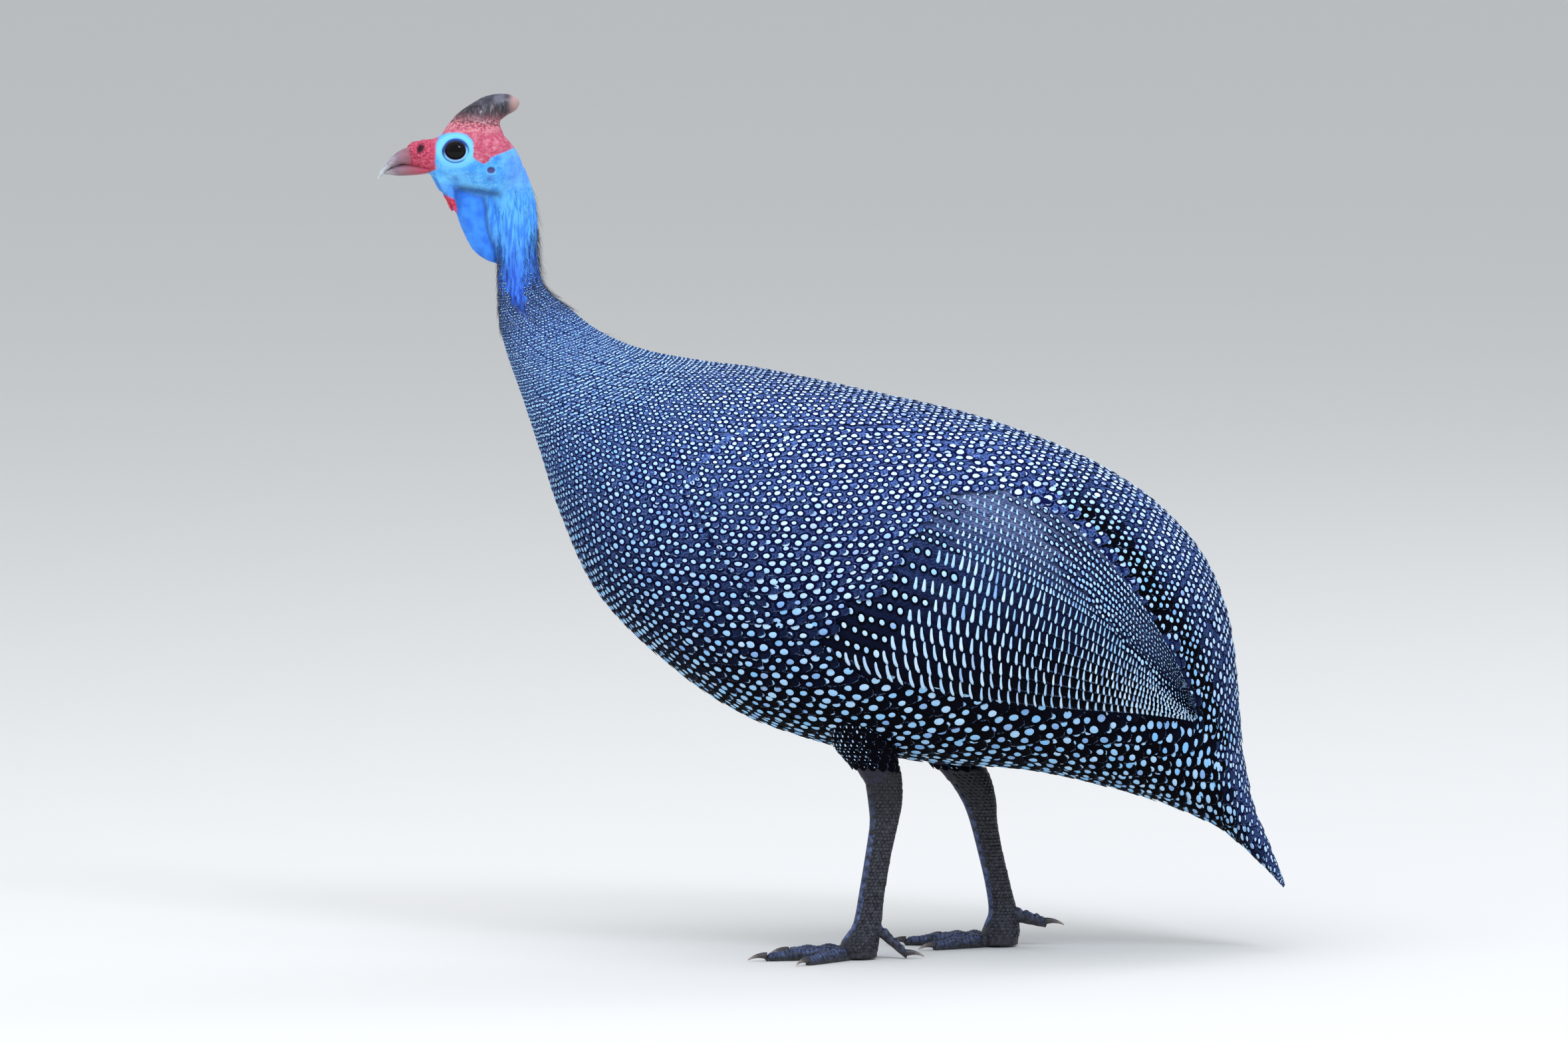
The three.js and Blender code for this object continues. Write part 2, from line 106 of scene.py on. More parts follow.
CASQUE = [
    ((-179, 366), (-147.5, 362), 24),
    ((-176, 371.7), (-148.4, 370.3), 18.5),
    ((-172.6, 376.5), (-149.8, 374.5), 14.2),
    ((-168.2, 381), (-149.8, 376.6), 11.5),
    ((-163, 384.4), (-148.2, 378.1), 9.8),
    ((-157.2, 387.5), (-146.1, 379.3), 8.6),
    ((-151, 388.8), (-144, 380.5), 7.4),
    ((-145, 388.2), (-142.1, 381.8), 5.8),
    ((-141.6, 386.4), (-141, 383.8), 3),
]
BILL_UPPER = [
    ((-187.5, 365.4), (-187.5, 356.5), 9.4),
    ((-192.4, 365.1), (-192.4, 356.9), 8.8),
    ((-195.9, 363.7), (-194.4, 357.4), 7.8),
    ((-199.4, 361.2), (-197.6, 357), 6.4),
    ((-202.4, 358.1), (-200.8, 355.5), 4.6),
    ((-204.8, 354.3), (-203.7, 352.9), 2.6),
    ((-206.1, 350.6), (-205.7, 350.2), 0.9),
]
BILL_LOWER = [
    ((-181.9, 356.2), (-182.9, 353.3), 11),
    ((-186.9, 357.2), (-186.9, 352.7), 9.4),
    ((-191.4, 357.7), (-191.4, 352.4), 7.8),
    ((-195.9, 357.3), (-195.9, 352.3), 6.2),
    ((-200.2, 355.9), (-199.8, 352.7), 4.4),
    ((-203.4, 354), (-203, 353), 1.4),
]
WATTLE = [
    ((-181.9, 356.5), (-173, 356.5), 3.4),
    ((-181.2, 353.4), (-173.1, 353.4), 2.8),
    ((-179.4, 349.5), (-172, 349.3), 2.7),
    ((-177.4, 345.8), (-171.9, 345.6), 2.4),
    ((-175, 342.7), (-171.8, 342.6), 2.1),
    ((-173.3, 339.6), (-171.1, 339.6), 1.9),
    ((-172.2, 336.9), (-170.2, 336.9), 1.6),
    ((-170.9, 335.4), (-170, 335.3), 0.9),
]
WATTLE_SPLAY = [6.3, 6.2, 5.9, 5.7, 5.5, 5.4, 5.4, 5.4]
NOSTRIL_LOBE_AT = (-187.5, 4.2, 363.7)
NOSTRIL_LOBE_RADII = (4.6, 2.4, 3.6)
EYE_AT = (-172, 9.4, 364)
EYE_RADII = (4.9, 3.2, 4.4)
# Half width and half height of the opening between the lids
EYE_OPENING = (4.55, 3.8)
EYE_FORWARD = math.radians(13)

# Folded wing: upper edge (x, z) and lower edge (x, z), from the shoulder to the tip
WING = [
    ((-66, 216), (-65, 211)),
    ((-52, 234), (-51, 187)),
    ((-22, 245), (-22, 152)),
    ((20, 243), (14, 133.5)),
    ((62, 229), (50, 124)),
    ((98, 207), (83, 118.5)),
    ((128, 178.5), (113, 116)),
    ((149, 147), (139, 113.5)),
    ((161, 121), (157.5, 110.5)),
    ((165.5, 110.5), (165, 108.5)),
]
WING_BULGE = 4.5
WING_EDGE = 0.5
# The groove beside the upper edge of the folded wing: depth as a share of the half width, width,
# and between which places along X it lies and grows to its full depth
GROOVE_DEPTH = 0.045
GROOVE_WIDTH = 12
GROOVE_REACH = (-20, 185)
GROOVE_FADES_IN = (75, 115)
# The wing lies between these places along X, and nothing of it within this distance of the bird's middle
WING_REACH = (-70, 170)
WING_FROM_MIDDLE = 12

# Legs: sections at (x, y, z) with depth along X and width along Y
LEGS = {
    "left": {
        "side": -1,
        "thigh": [
            ((10, 40, 118), 30, 26),
            ((14, 36, 98), 29, 23),
            ((19, 33, 87), 22, 16),
            ((22.5, 31.5, 77), 17, 12),
            ((23.5, 31, 71), 12, 9),
        ],
        "shank": [
            ((21.8, 32, 89), 17, 12),
            ((23, 31.2, 79), 16.6, 11.4),
            ((23.5, 31, 70), 15.2, 9.8),
            ((23, 30.5, 62), 13, 8.6),
            ((20.5, 30, 48), 11.8, 7.6),
            ((17.5, 29, 30), 11.6, 8),
            ((15.2, 28.5, 15), 13, 11),
            ((12, 28, 7), 17.5, 16.5),
            ((11, 28, 0), 18, 17),
        ],
        "foot": (11, 28),
        "yaw": 14,
        "spots_end": (86, 104),
        "feathers_end": 84,
        "hind": ((20.5, 28, 14), 40),
    },
    "right": {
        "side": 1,
        "thigh": [
            ((36, 40, 118), 30, 26),
            ((46, 36, 96), 29, 23),
            ((55, 33, 83), 24, 17),
            ((63, 31, 71.5), 19, 12.5),
            ((66.5, 30, 64), 12, 9),
        ],
        "shank": [
            ((59, 32, 82), 21, 14),
            ((63.4, 31, 73), 18.4, 12),
            ((66.5, 30, 65), 15.2, 9.8),
            ((68.2, 29.5, 57), 12.6, 8.6),
            ((71, 29, 44), 11.4, 7.6),
            ((74.5, 28.5, 29), 11.4, 8),
            ((77, 28, 15), 13, 11),
            ((76, 28, 7), 17.5, 16.5),
            ((75, 28, 0), 18, 17),
        ],
        "foot": (75, 28),
        "yaw": 6,
        "spots_end": (80, 92),
        "feathers_end": 79,
        "hind": ((84, 28, 14.5), 12),
    },
}
FRONT_TOES = {"inner": (-38, 31), "middle": (0, 39), "outer": (38, 33)}
TOE_START = 4
TOE_WIDE = (5.6, 4.4)
TOE_HIGH = (6.8, 4)
TOE_PADS = 3
TOE_PAD_SWELL = 0.08
HIND_TOE_LENGTH = 13
HIND_TOE_WIDE = (5.6, 4)
CLAW_LENGTH = 9.5
CLAW_RADIUS = 1.7
CLAW_CURL = math.radians(45)
CLAW_RISE = math.radians(12)
CLAW_LIFT = 0.4

# Coat: its thickness over the skin of the trunk, and its rows of feathers from the neck on.
# Each part of a tract ends at a place along the body and has so many feathers round it;
# each feather shows two spots side by side.
COAT_DEPTH = 4.2
BARE_NECK_END = 0.165
COAT_START = 0.118
TRACTS = {
    "collar": [(0.205, 24), (0.255, 34)],
    "breast": [(0.335, 49)],
    "shoulder": [(0.470, 55)],
    "flank": [(0.550, 55), (0.620, 50), (0.700, 45)],
    "rump": [(0.735, 39), (0.770, 32), (0.805, 25), (0.840, 19), (0.870, 14)],
    "tail": [(0.900, 11), (0.930, 8), (0.985, 6)],
}
# How much further apart feathers stand under the belly than on the back, along the body
BELLY_SPREAD = ([0.30, 0.50, 0.65, 0.85], [0.0, 0.35, 0.7, 0.45])
ROW_STEP = 0.87
# Sizes of a feather and its spots as shares of the distance between spots
SPOT_SIZE = 0.335
TAIL_SPOT = 0.78
COLLAR_SPOT = 0.76
HALO_SIZE = 1.55
VANE_WIDTH = 1.4
VANE_LENGTH = 4.4
VANE_SLOPE = 0.062
VANE_CAMBER = 0.05
VANE_ROLL = 0.035
VANE_THICKNESS = 0.02
SPOT_LIFT = 0.032
SPOT_THICKNESS = 0.05
HALO_LIFT = 0.014


# Numbers

def linear(code):
    """Linear colour of an sRGB hex code."""
    values = [int(code[i:i + 2], 16) / 255 for i in (1, 3, 5)]
    return (*[v / 12.92 if v <= 0.04045 else ((v + 0.055) / 1.055) ** 2.4 for v in values], 1)


def fade(value, start, end):
    """Smooth step from 0 at the start to 1 at the end."""
    share = np.clip((np.asarray(value, float) - start) / (end - start), 0, 1)
    return share * share * (3 - 2 * share)


def mix(a, b, share):
    return a + (b - a) * share


def rounder(value, power):
    return np.sign(value) * np.abs(value) ** power


def smooth_line(points, t):
    """Points on a smooth line through the given ones; t runs from 0 at the first to 1 at the last."""
    p = np.array(points, float)
    p = np.vstack([2 * p[0] - p[1], p, 2 * p[-1] - p[-2]])
    spans = len(p) - 3
    t = np.clip(np.asarray(t, float), 0, 1) * spans
    i = np.minimum(t.astype(int), spans - 1)
    w = (t - i)[..., None]
    a, b, c, d = p[i], p[i + 1], p[i + 2], p[i + 3]
    ab, bc, cd = [np.linalg.norm(v, axis=-1, keepdims=True) ** 0.5 for v in (b - a, c - b, d - c)]
    leave = ((b - a) / ab - (c - a) / (ab + bc)) * bc + (c - b)
    arrive = (c - b) + ((d - c) / cd - (d - b) / (bc + cd)) * bc
    square, cube = w * w, w * w * w
    return ((2 * cube - 3 * square + 1) * b + (cube - 2 * square + w) * leave
            + (3 * square - 2 * cube) * c + (cube - square) * arrive)


def section_tube(rows, t, angle, fullness=1.0, sag=0.0, splay=None, side=1):
    """Points on the skin through upright sections; angle 0 is the top and a quarter turn the left side."""
    top = smooth_line([(r[0][0], r[2] / 2, r[0][1]) for r in rows], t)
    low = smooth_line([(r[1][0], r[2] / 2, r[1][1]) for r in rows], t)
    c, s = np.cos(angle), -np.sin(angle)
    half = (top - low) / 2
    half[..., 1] = 0
    centre = (top + low) / 2
    wide = top[..., 1] * (1 - sag * c)
    centre[..., 1] = 0 if splay is None else side * np.interp(t, np.linspace(0, 1, len(splay)), splay)
    points = centre + half * rounder(c, fullness)[..., None]
    points[..., 1] += wide * rounder(s, fullness)
    return points


def limb_tube(rows, side, t, angle, grow=0.0):
    """Points on a limb through level sections; angle 0 faces forwards."""
    line = smooth_line([(r[0][0], side * r[0][1], r[0][2]) for r in rows], t)
    size = smooth_line([(r[1] / 2, r[2] / 2, i) for i, r in enumerate(rows)], t)
    points = line + np.zeros(np.broadcast(t, angle).shape + (1,))
    points[..., 0] -= (size[..., 0] + grow) * np.cos(angle)
    points[..., 1] -= (size[..., 1] + grow) * np.sin(angle)
    return points


def placed(points):
    """Millimetres of the tables to metres of the scene."""
    return (points + np.array([CENTRE_X, 0, 0])) * MM


def head_turned(points):
    """Points of the head before its turn, in millimetres, to their place in the scene."""
    x, y = points[..., 0] - HEAD_TURN_X, points[..., 1]
    turned = points.copy()
    turned[..., 0] = x * math.cos(HEAD_TURN) - y * math.sin(HEAD_TURN) + HEAD_TURN_X
    turned[..., 1] = x * math.sin(HEAD_TURN) + y * math.cos(HEAD_TURN)
    return placed(turned)


def head_unturned(points):
    """Places in the scene to the head's own millimetres before its turn."""
    x, y = points[..., 0] / MM - CENTRE_X - HEAD_TURN_X, points[..., 1] / MM
    own = points / MM
    own[..., 0] = x * math.cos(HEAD_TURN) + y * math.sin(HEAD_TURN) + HEAD_TURN_X
    own[..., 1] = -x * math.sin(HEAD_TURN) + y * math.cos(HEAD_TURN)
    return own


class Lie:
    """A surface that feathers or scales lie on: t runs along their lie and q round or across it."""

    def __init__(self, points, closed=True):
        self.points = points
        self.closed = closed
        steps, sides = points.shape[:2]
        along = np.gradient(points, axis=0) * (steps - 1)
        if closed:
            across = (np.roll(points, -1, 1) - np.roll(points, 1, 1)) / 2 * sides
        else:
            across = np.gradient(points, axis=1) * (sides - 1)
        normal = np.cross(across, along)
        self.normal = normal / np.maximum(np.linalg.norm(normal, axis=2, keepdims=True), 1e-12)
        self.along = np.linalg.norm(along, axis=2)
        self.across = np.linalg.norm(across, axis=2)

    def at(self, grid, t, q):
        """Value of a grid at a place, worked out between its four nearest points."""
        steps, sides = grid.shape[:2]
        t, q = np.broadcast_arrays(np.clip(t, 0, 1) * (steps - 1), q)
        i = np.minimum(t.astype(int), steps - 2)
        a = t - i
        if self.closed:
            q = (q % 1) * sides
            j = np.floor(q).astype(int)
            b = q - j
            j, k = j % sides, (j + 1) % sides
        else:
            q = np.clip(q, 0, 1) * (sides - 1)
            j = np.minimum(q.astype(int), sides - 2)
            b, k = q - j, j + 1
        if grid.ndim == 3:
            a, b = a[..., None], b[..., None]
        return ((grid[i, j] * (1 - b) + grid[i, k] * b) * (1 - a)
                + (grid[i + 1, j] * (1 - b) + grid[i + 1, k] * b) * a)

    def pace(self, t):
        """Mean distance along the lie for a step of one in t."""
        return float(self.along[int(t * (len(self.along) - 1))].mean())

    def lay(self, t0, q0, across, along, lift, most=0.22):
        """Places at distances across and along the lie from a root, and lifted off the surface."""
        t = np.clip(t0 + along / self.at(self.along, t0, q0), 0, 1)
        turn = np.clip(across / np.maximum(self.at(self.across, t, q0), 1e-6), -most, most)
        q = q0 + turn
        return self.at(self.points, t, q) + self.at(self.normal, t, q) * lift[..., None]


# Meshes

class Shape:
    """One small closed shape that is repeated many times: its places and faces."""

    def __init__(self, bm):
        bmesh.ops.recalc_face_normals(bm, faces=bm.faces[:])
        bm.verts.index_update()
        self.at = np.array([v.co for v in bm.verts], float)
        self.faces = [[v.index for v in f.verts] for f in bm.faces]
        rim = bm.verts.layers.float.get("rim")
        self.rim = np.array([[v[rim] if rim else 0 for v in bm.verts]])
        bm.free()


def vane_shape(across, along, crowd, tip):
    """A feather's vane: x across from -1 to 1, y from root 0 to tip 1, z 0 on top and -1 below."""
    bm = bmesh.new()
    bmesh.ops.create_grid(bm, x_segments=across, y_segments=along, size=1)
    rim = bm.verts.layers.float.new("rim")
    for v in bm.verts:
        u, w = v.co.x, 1 - (0.5 - v.co.y / 2) ** crowd
        v[rim] = 1 if abs(u) > 0.99 or w > 0.99 else 0
        wide = min(1, 0.45 + 0.9 * w) if w < 0.7 else 1 - (1 - tip) * ((w - 0.7) / 0.3) ** 2
        v.co = Vector((u * wide, w - 0.16 * u * u * max(0, (w - 0.55) / 0.45), 0))
    return solid_sheet(bm)


def solid_sheet(bm):
    """A flat sheet given an underside one unit below it, closed along its rim."""
    bmesh.ops.solidify(bm, geom=bm.faces[:], thickness=1)
    top = max(v.co.z for v in bm.verts)
    for v in bm.verts:
        v.co.z -= top
    return Shape(bm)


def button_shape(sides, rim):
    """A low button: its top at z 0 and its wider foot at z -1."""
    bm = bmesh.new()
    bmesh.ops.create_cone(bm, cap_ends=True, segments=sides, radius1=1, radius2=rim, depth=1,
                          matrix=Matrix.Translation((0, 0, -0.5)))
    return Shape(bm)


def flat_disc_shape(sides):
    bm = bmesh.new()
    bmesh.ops.create_circle(bm, cap_ends=True, cap_tris=True, segments=sides, radius=1)
    return Shape(bm)


def bar_shape(steps):
    """A bar on a long feather: x across its width, y from its broad foot 0 to its narrow end 1."""
    bm = bmesh.new()
    bmesh.ops.create_grid(bm, x_segments=2, y_segments=steps, size=1)
    for v in bm.verts:
        along = (v.co.y + 1) / 2
        wide = mix(1, 0.62, fade(along, 0.1, 0.85)) * (0.5 if abs(2 * along - 1) > 0.9 else 1)
        v.co = Vector((v.co.x * wide, along, -0.5 if abs(v.co.x) > 0.99 else 0))
    return solid_sheet(bm)


def spike_shape():
    """A fine three-sided bristle along y, its root at 0 and its point at 1."""
    bm = bmesh.new()
    bmesh.ops.create_cone(bm, cap_ends=True, segments=3, radius1=1, radius2=0.25, depth=1,
                          matrix=Matrix.Translation((0, 0.5, 0)) @ Matrix.Rotation(-math.pi / 2, 4, "X"))
    return Shape(bm)


VANE = vane_shape(4, 5, crowd=1.6, tip=0.5)
STRIP = vane_shape(4, 26, crowd=1, tip=0.35)
SPOT = button_shape(9, rim=0.78)
RING = flat_disc_shape(9)
BAR = bar_shape(6)
SPIKE = spike_shape()


class Pieces:
    """Copies of small shapes gathered into one mesh, with the values its material reads."""

    def __init__(self):
        self.points, self.faces, self.detail, self.bake = [], [], [], []
        self.values = {}
        self.count = 0

    def add(self, shape, places, detail, root, **values):
        """places is (copies, points, 3), detail the same in 2, and root (copies, 2) on the unwrap."""
        copies, size = places.shape[:2]
        if not copies:
            return
        starts = self.count + np.arange(copies) * size
        for face in shape.faces:
            self.faces.append((starts[:, None] + np.array(face)[None, :]))
        self.points.append(places.reshape(-1, 3))
        self.detail.append(np.broadcast_to(detail, (copies, size, 2)).reshape(-1, 2))
        spread = shape.at[:, :2] - shape.at[:, :2].min(0)
        spread = (spread / max(spread.max(), 1e-9) - 0.5) * BAKE_PATCH
        self.bake.append((root[:, None, :] + spread[None]).reshape(-1, 2))
        for name, value in values.items():
            value = np.asarray(value, float)
            value = np.broadcast_to(value[:, None] if value.ndim == 1 else value, (copies, size))
            self.values.setdefault(name, []).append(value.reshape(-1))
        self.count += copies * size

    def build(self, name, material, slot):
        mesh = bpy.data.meshes.new(name)
        points = np.concatenate(self.points)
        groups = {}
        for block in self.faces:
            groups.setdefault(block.shape[1], []).append(block)
        loops = np.concatenate([np.concatenate(g).ravel() for g in groups.values()]).astype(np.int32)
        sizes = np.concatenate([np.full(sum(len(b) for b in g), n) for n, g in groups.items()])
        mesh.vertices.add(len(points))
        mesh.vertices.foreach_set("co", points.astype(np.float32).ravel())
        mesh.loops.add(len(loops))
        mesh.loops.foreach_set("vertex_index", loops)
        mesh.polygons.add(len(sizes))
        starts = np.concatenate([[0], np.cumsum(sizes)[:-1]]).astype(np.int32)
        mesh.polygons.foreach_set("loop_start", starts)
        mesh.update(calc_edges=True)
        for layer, uv in (("OFBake", self.bake), ("Detail", self.detail)):
            data = mesh.uv_layers.new(name=layer).data
            data.foreach_set("uv", np.concatenate(uv)[loops].astype(np.float32).ravel())
        for key, value in self.values.items():
            give(mesh, key, np.concatenate(value))
        mesh.validate()
        mesh.shade_smooth()
        return finished(name, mesh, material)


# Width of a feather's patch on the unwrap, and the margin round the unwrap
BAKE_PATCH = 0.003
BAKE_MARGIN = 0.02


def unwrap(t, q):
    """Place on the unwrap of the skin: round the bird and along it."""
    span = 1 - 2 * BAKE_MARGIN
    return np.stack([BAKE_MARGIN + span * (q % 1), BAKE_MARGIN + span * np.clip(t, 0, 1)], -1)


def give(mesh, name, values):
    """Values at the points of a mesh, under the name that its material reads."""
    data = mesh.attributes.new(name, "FLOAT", "POINT").data
    data.foreach_set("value", np.broadcast_to(values, len(mesh.vertices)).astype(np.float32))


def finished(name, mesh, material, replaces=()):
    """Links a finished mesh, gives it its material and lets it ride on the bird."""
    piece = bpy.data.objects.new(name, mesh)
    bpy.context.scene.collection.objects.link(piece)
    mesh.materials.clear()
    mesh.materials.append(material)
    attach(piece, "root")
    if replaces:
        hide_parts(*replaces)
    return piece


def closed_tube(place, steps, sides):
    """A closed tube bent from a grid; place gives points for the way along it and the angle round it."""
    bm = bmesh.new()
    bmesh.ops.create_grid(bm, x_segments=sides, y_segments=steps, size=1)
    own = bm.loops.layers.uv.new("Detail")
    for f in bm.faces:
        for loop in f.loops:
            loop[own].uv = ((loop.vert.co.x + 1) / 2, (loop.vert.co.y + 1) / 2)
    grid = np.array([v.co for v in bm.verts], float)
    t, angle = (grid[:, 1] + 1) / 2, (grid[:, 0] + 1) * math.pi
    points = place(t, angle)
    for end in (0, 1):
        row = np.abs(t - end) < 1e-6
        points[row] = points[row].mean(0)
    for v, point in zip(bm.verts, points):
        v.co = Vector(point)
    bmesh.ops.remove_doubles(bm, verts=bm.verts[:], dist=1e-7)
    bmesh.ops.recalc_face_normals(bm, faces=bm.faces[:])
    return bm


def mesh_of(bm, name):
    mesh = bpy.data.meshes.new(name)
    bm.to_mesh(mesh)
    bm.free()
    mesh.shade_smooth()
    return mesh


def joined(*parts):
    """Several bmeshes in one."""
    whole = bmesh.new()
    for bm in parts:
        mesh = bpy.data.meshes.new("part")
        bm.to_mesh(mesh)
        bm.free()
        whole.from_mesh(mesh)
        bpy.data.meshes.remove(mesh)
    return whole


def cast(bm, voxel, smoothing):
    """One closed skin round the joined solids, smoothed."""
    mesh = bpy.data.meshes.new("cast")
    bm.to_mesh(mesh)
    bm.free()
    worker = bpy.data.objects.new("cast", mesh)
    bpy.context.scene.collection.objects.link(worker)
    remesh = worker.modifiers.new("remesh", "REMESH")
    remesh.mode = "VOXEL"
    remesh.voxel_size = voxel
    relax = worker.modifiers.new("smooth", "SMOOTH")
    relax.factor = 0.5
    relax.iterations = smoothing
    graph = bpy.context.evaluated_depsgraph_get()
    made = bmesh.new()
    made.from_mesh(bpy.data.meshes.new_from_object(worker.evaluated_get(graph)))
    bpy.data.objects.remove(worker)
    return made


# Materials

# Settings and output of a kind of node, unless its call says otherwise
USUAL = {
    "Attribute": {"out": "Fac"},
    "MapRange": {"interpolation_type": "SMOOTHSTEP"},
    "Mix": {"out": 2, "data_type": "RGBA"},
    "TexCoord": {"out": "Object"},
}


def node(tree, kind, inputs=None, **settings):
    """Adds a node with its settings and links, and returns one of its outputs.

    Inputs are numbers, hex colours or outputs to link. Among the settings, out names the output
    and stops are the places and colours of a ramp. A Mix has its share at 0 and its colours at 6
    and 7; a MapRange has its value at 0 and goes from 0 to 1 between the values at 1 and 2.
    """
    settings = {**USUAL.get(kind, {}), **settings}
    out = settings.pop("out", 0)
    stops = settings.pop("stops", ())
    made = tree.nodes.new("ShaderNode" + kind)
    for key, value in settings.items():
        setattr(made, key, value)
    for key, value in (inputs or {}).items():
        if isinstance(value, bpy.types.NodeSocket):
            tree.links.new(value, made.inputs[key])
        else:
            made.inputs[key].default_value = linear(value) if isinstance(value, str) else value
    if stops:
        ramp = made.color_ramp
        while len(ramp.elements) < len(stops):
            ramp.elements.new(0.5)
        for element, (place, colour) in zip(ramp.elements, stops):
            element.position = place
            element.color = linear(colour)
    return made.outputs[out] if made.outputs else None


def material(name, roughness, specular=0.5):
    """A new material with its shader; returns the material, its tree and the shader."""
    made = bpy.data.materials.new(name)
    made.use_nodes = True
    tree = made.node_tree
    tree.nodes.clear()
    surface = node(tree, "BsdfPrincipled", {"Roughness": roughness, "Specular IOR Level": specular})
    node(tree, "OutputMaterial", {"Surface": surface})
    return made, tree, surface.node


def plumage_material():
    """Dark vane keratin: black, lightened up the body by a painted blue sheen of the sky, finely flecked,
    with loose pale barbs along its rim.
    """
    made, tree, shader = material("dark_vane_keratin", 0.8, 0.05)
    own = node(tree, "UVMap", uv_map="Detail")
    place = node(tree, "TexCoord")
    fleck = node(tree, "Attribute", attribute_name="fleck")
    tone = node(tree, "Attribute", attribute_name="tone")
    rim = node(tree, "Attribute", attribute_name="rim")
    warm = node(tree, "Attribute", attribute_name="warm")
    across = node(tree, "SeparateXYZ", {0: own})
    along = node(tree, "SeparateXYZ", {0: own}, out=1)
    leaning = node(tree, "Math", {0: along, 1: node(tree, "Math", {0: across}, operation="ABSOLUTE")},
        operation="SUBTRACT")
    # Flecks are pale stretches of barb 0.4 mm wide and a millimetre long that lean out from the shaft
    on_barb = node(tree, "CombineXYZ", {
        0: node(tree, "Math", {0: across, 1: 9.0}, operation="MULTIPLY"),
        1: node(tree, "Math", {0: leaning, 1: 24.0}, operation="MULTIPLY"),
        2: node(tree, "Math", {0: tone, 1: 40.0}, operation="MULTIPLY")})
    barbs = node(tree, "TexNoise", {
        "Vector": on_barb, "Scale": 1.0, "Detail": 2.0, "Roughness": 0.6, "Distortion": 0.6})
    line = node(tree, "MapRange", {0: barbs, 1: 0.45, 2: 0.6})
    haze = node(tree, "Mix", {0: warm, 6: "#7E9FE4", 7: "#9FA4B6"})
    # Painted sheen of the sky: the black ground turns blue where the mask is high, on the neck and back
    painted_sheen = node(tree, "Mix", {0: warm, 6: "#22346E", 7: "#39435E"})
    ground = node(tree, "Mix", {0: fleck, 6: "#020208", 7: painted_sheen})
    flecked = node(tree, "Math", {0: node(tree, "Math", {0: fleck, 1: 1.8}, operation="POWER"), 1: 0.78},
        operation="MULTIPLY")
    marked = node(tree, "Mix", {
        0: node(tree, "Math", {0: line, 1: flecked}, operation="MULTIPLY"), 6: ground, 7: haze})
    # Loose barbs on the rim catch the light as broken pale hairs
    hairs = node(tree, "TexNoise", {"Vector": place, "Scale": 1100.0, "Detail": 1.0})
    fringe = node(tree, "Math", {
        0: node(tree, "MapRange", {0: rim, 1: 0.66, 2: 0.92}),
        1: node(tree, "MapRange", {0: hairs, 1: 0.42, 2: 0.6})}, operation="MULTIPLY")
    paleness = node(tree, "Math", {0: fleck, 1: 0.3, 2: 0.34}, operation="MULTIPLY_ADD")
    fringed = node(tree, "Mix", {
        0: node(tree, "Math", {0: fringe, 1: paleness}, operation="MULTIPLY"), 6: marked, 7: "#8FAFE6"})
    toned = node(tree, "Mix", {
        0: node(tree, "Math", {0: tone, 1: 0.25}, operation="MULTIPLY"), 6: fringed, 7: "#04040A"})
    tree.links.new(toned, shader.inputs["Base Color"])
    # Barbs lie five to the millimetre in life, and are drawn at two and a half so that they show
    comb = node(tree, "Math", {0: node(tree, "Math", {0: leaning, 1: 160.0}, operation="MULTIPLY")},
        operation="SINE")
    bump = node(tree, "Bump", {"Strength": 0.1, "Distance": 0.0002, "Height": comb})
    tree.links.new(bump, shader.inputs["Normal"])
    return made


def spot_material():
    """Unpigmented keratin of the spots and bars: pale, bluer under the sky, a little uneven."""
    made, tree, shader = material("pale_spot_keratin", 0.7, 0.15)
    place = node(tree, "TexCoord")
    tone = node(tree, "Attribute", attribute_name="tone")
    pale = node(tree, "Mix", {
        0: node(tree, "Attribute", attribute_name="blue"), 6: "#DDEFFA", 7: "#7FC0F0"})
    uneven = node(tree, "TexNoise", {"Vector": place, "Scale": 900.0, "Detail": 2.0})
    dull = node(tree, "Math", {0: node(tree, "MapRange", {0: uneven, 1: 0.45, 2: 0.7}), 1: 0.15},
        operation="MULTIPLY")
    dulled = node(tree, "Mix", {0: dull, 6: pale, 7: "#7F9CCB"})
    # A few spots are clearly dimmer than the rest
    slightly = node(tree, "Math", {0: tone, 1: 0.15}, operation="MULTIPLY")
    dim = node(tree, "Math", {
        0: node(tree, "MapRange", {0: tone, 1: 0.82, 2: 0.92}), 1: 0.4, 2: slightly},
        operation="MULTIPLY_ADD")
    toned = node(tree, "Mix", {0: dim, 6: dulled, 7: "#5F83C4"})
    tree.links.new(toned, shader.inputs["Base Color"])
    return made


def surround_material():
    """Melanin-black ring of vane round each spot, unflecked, with a painted violet sheen of the sky on the
    back.
    """
    made, tree, shader = material("black_vane_keratin", 0.8, 0.05)
    ring = node(tree, "Mix", {
        0: node(tree, "Attribute", attribute_name="fleck"), 6: "#020207", 7: "#0C1240"})
    tree.links.new(ring, shader.inputs["Base Color"])
    return made


def bristle_material():
    """Hair-like feathers of the neck: black keratin with a soft gloss."""
    made, tree, shader = material("black_bristle_keratin", 0.45)
    own = node(tree, "UVMap", uv_map="Detail")
    along = node(tree, "SeparateXYZ", {0: own}, out=1)
    tree.links.new(node(tree, "Mix", {0: along, 6: "#10111F", 7: "#2B3258"}), shader.inputs["Base Color"])
    return made


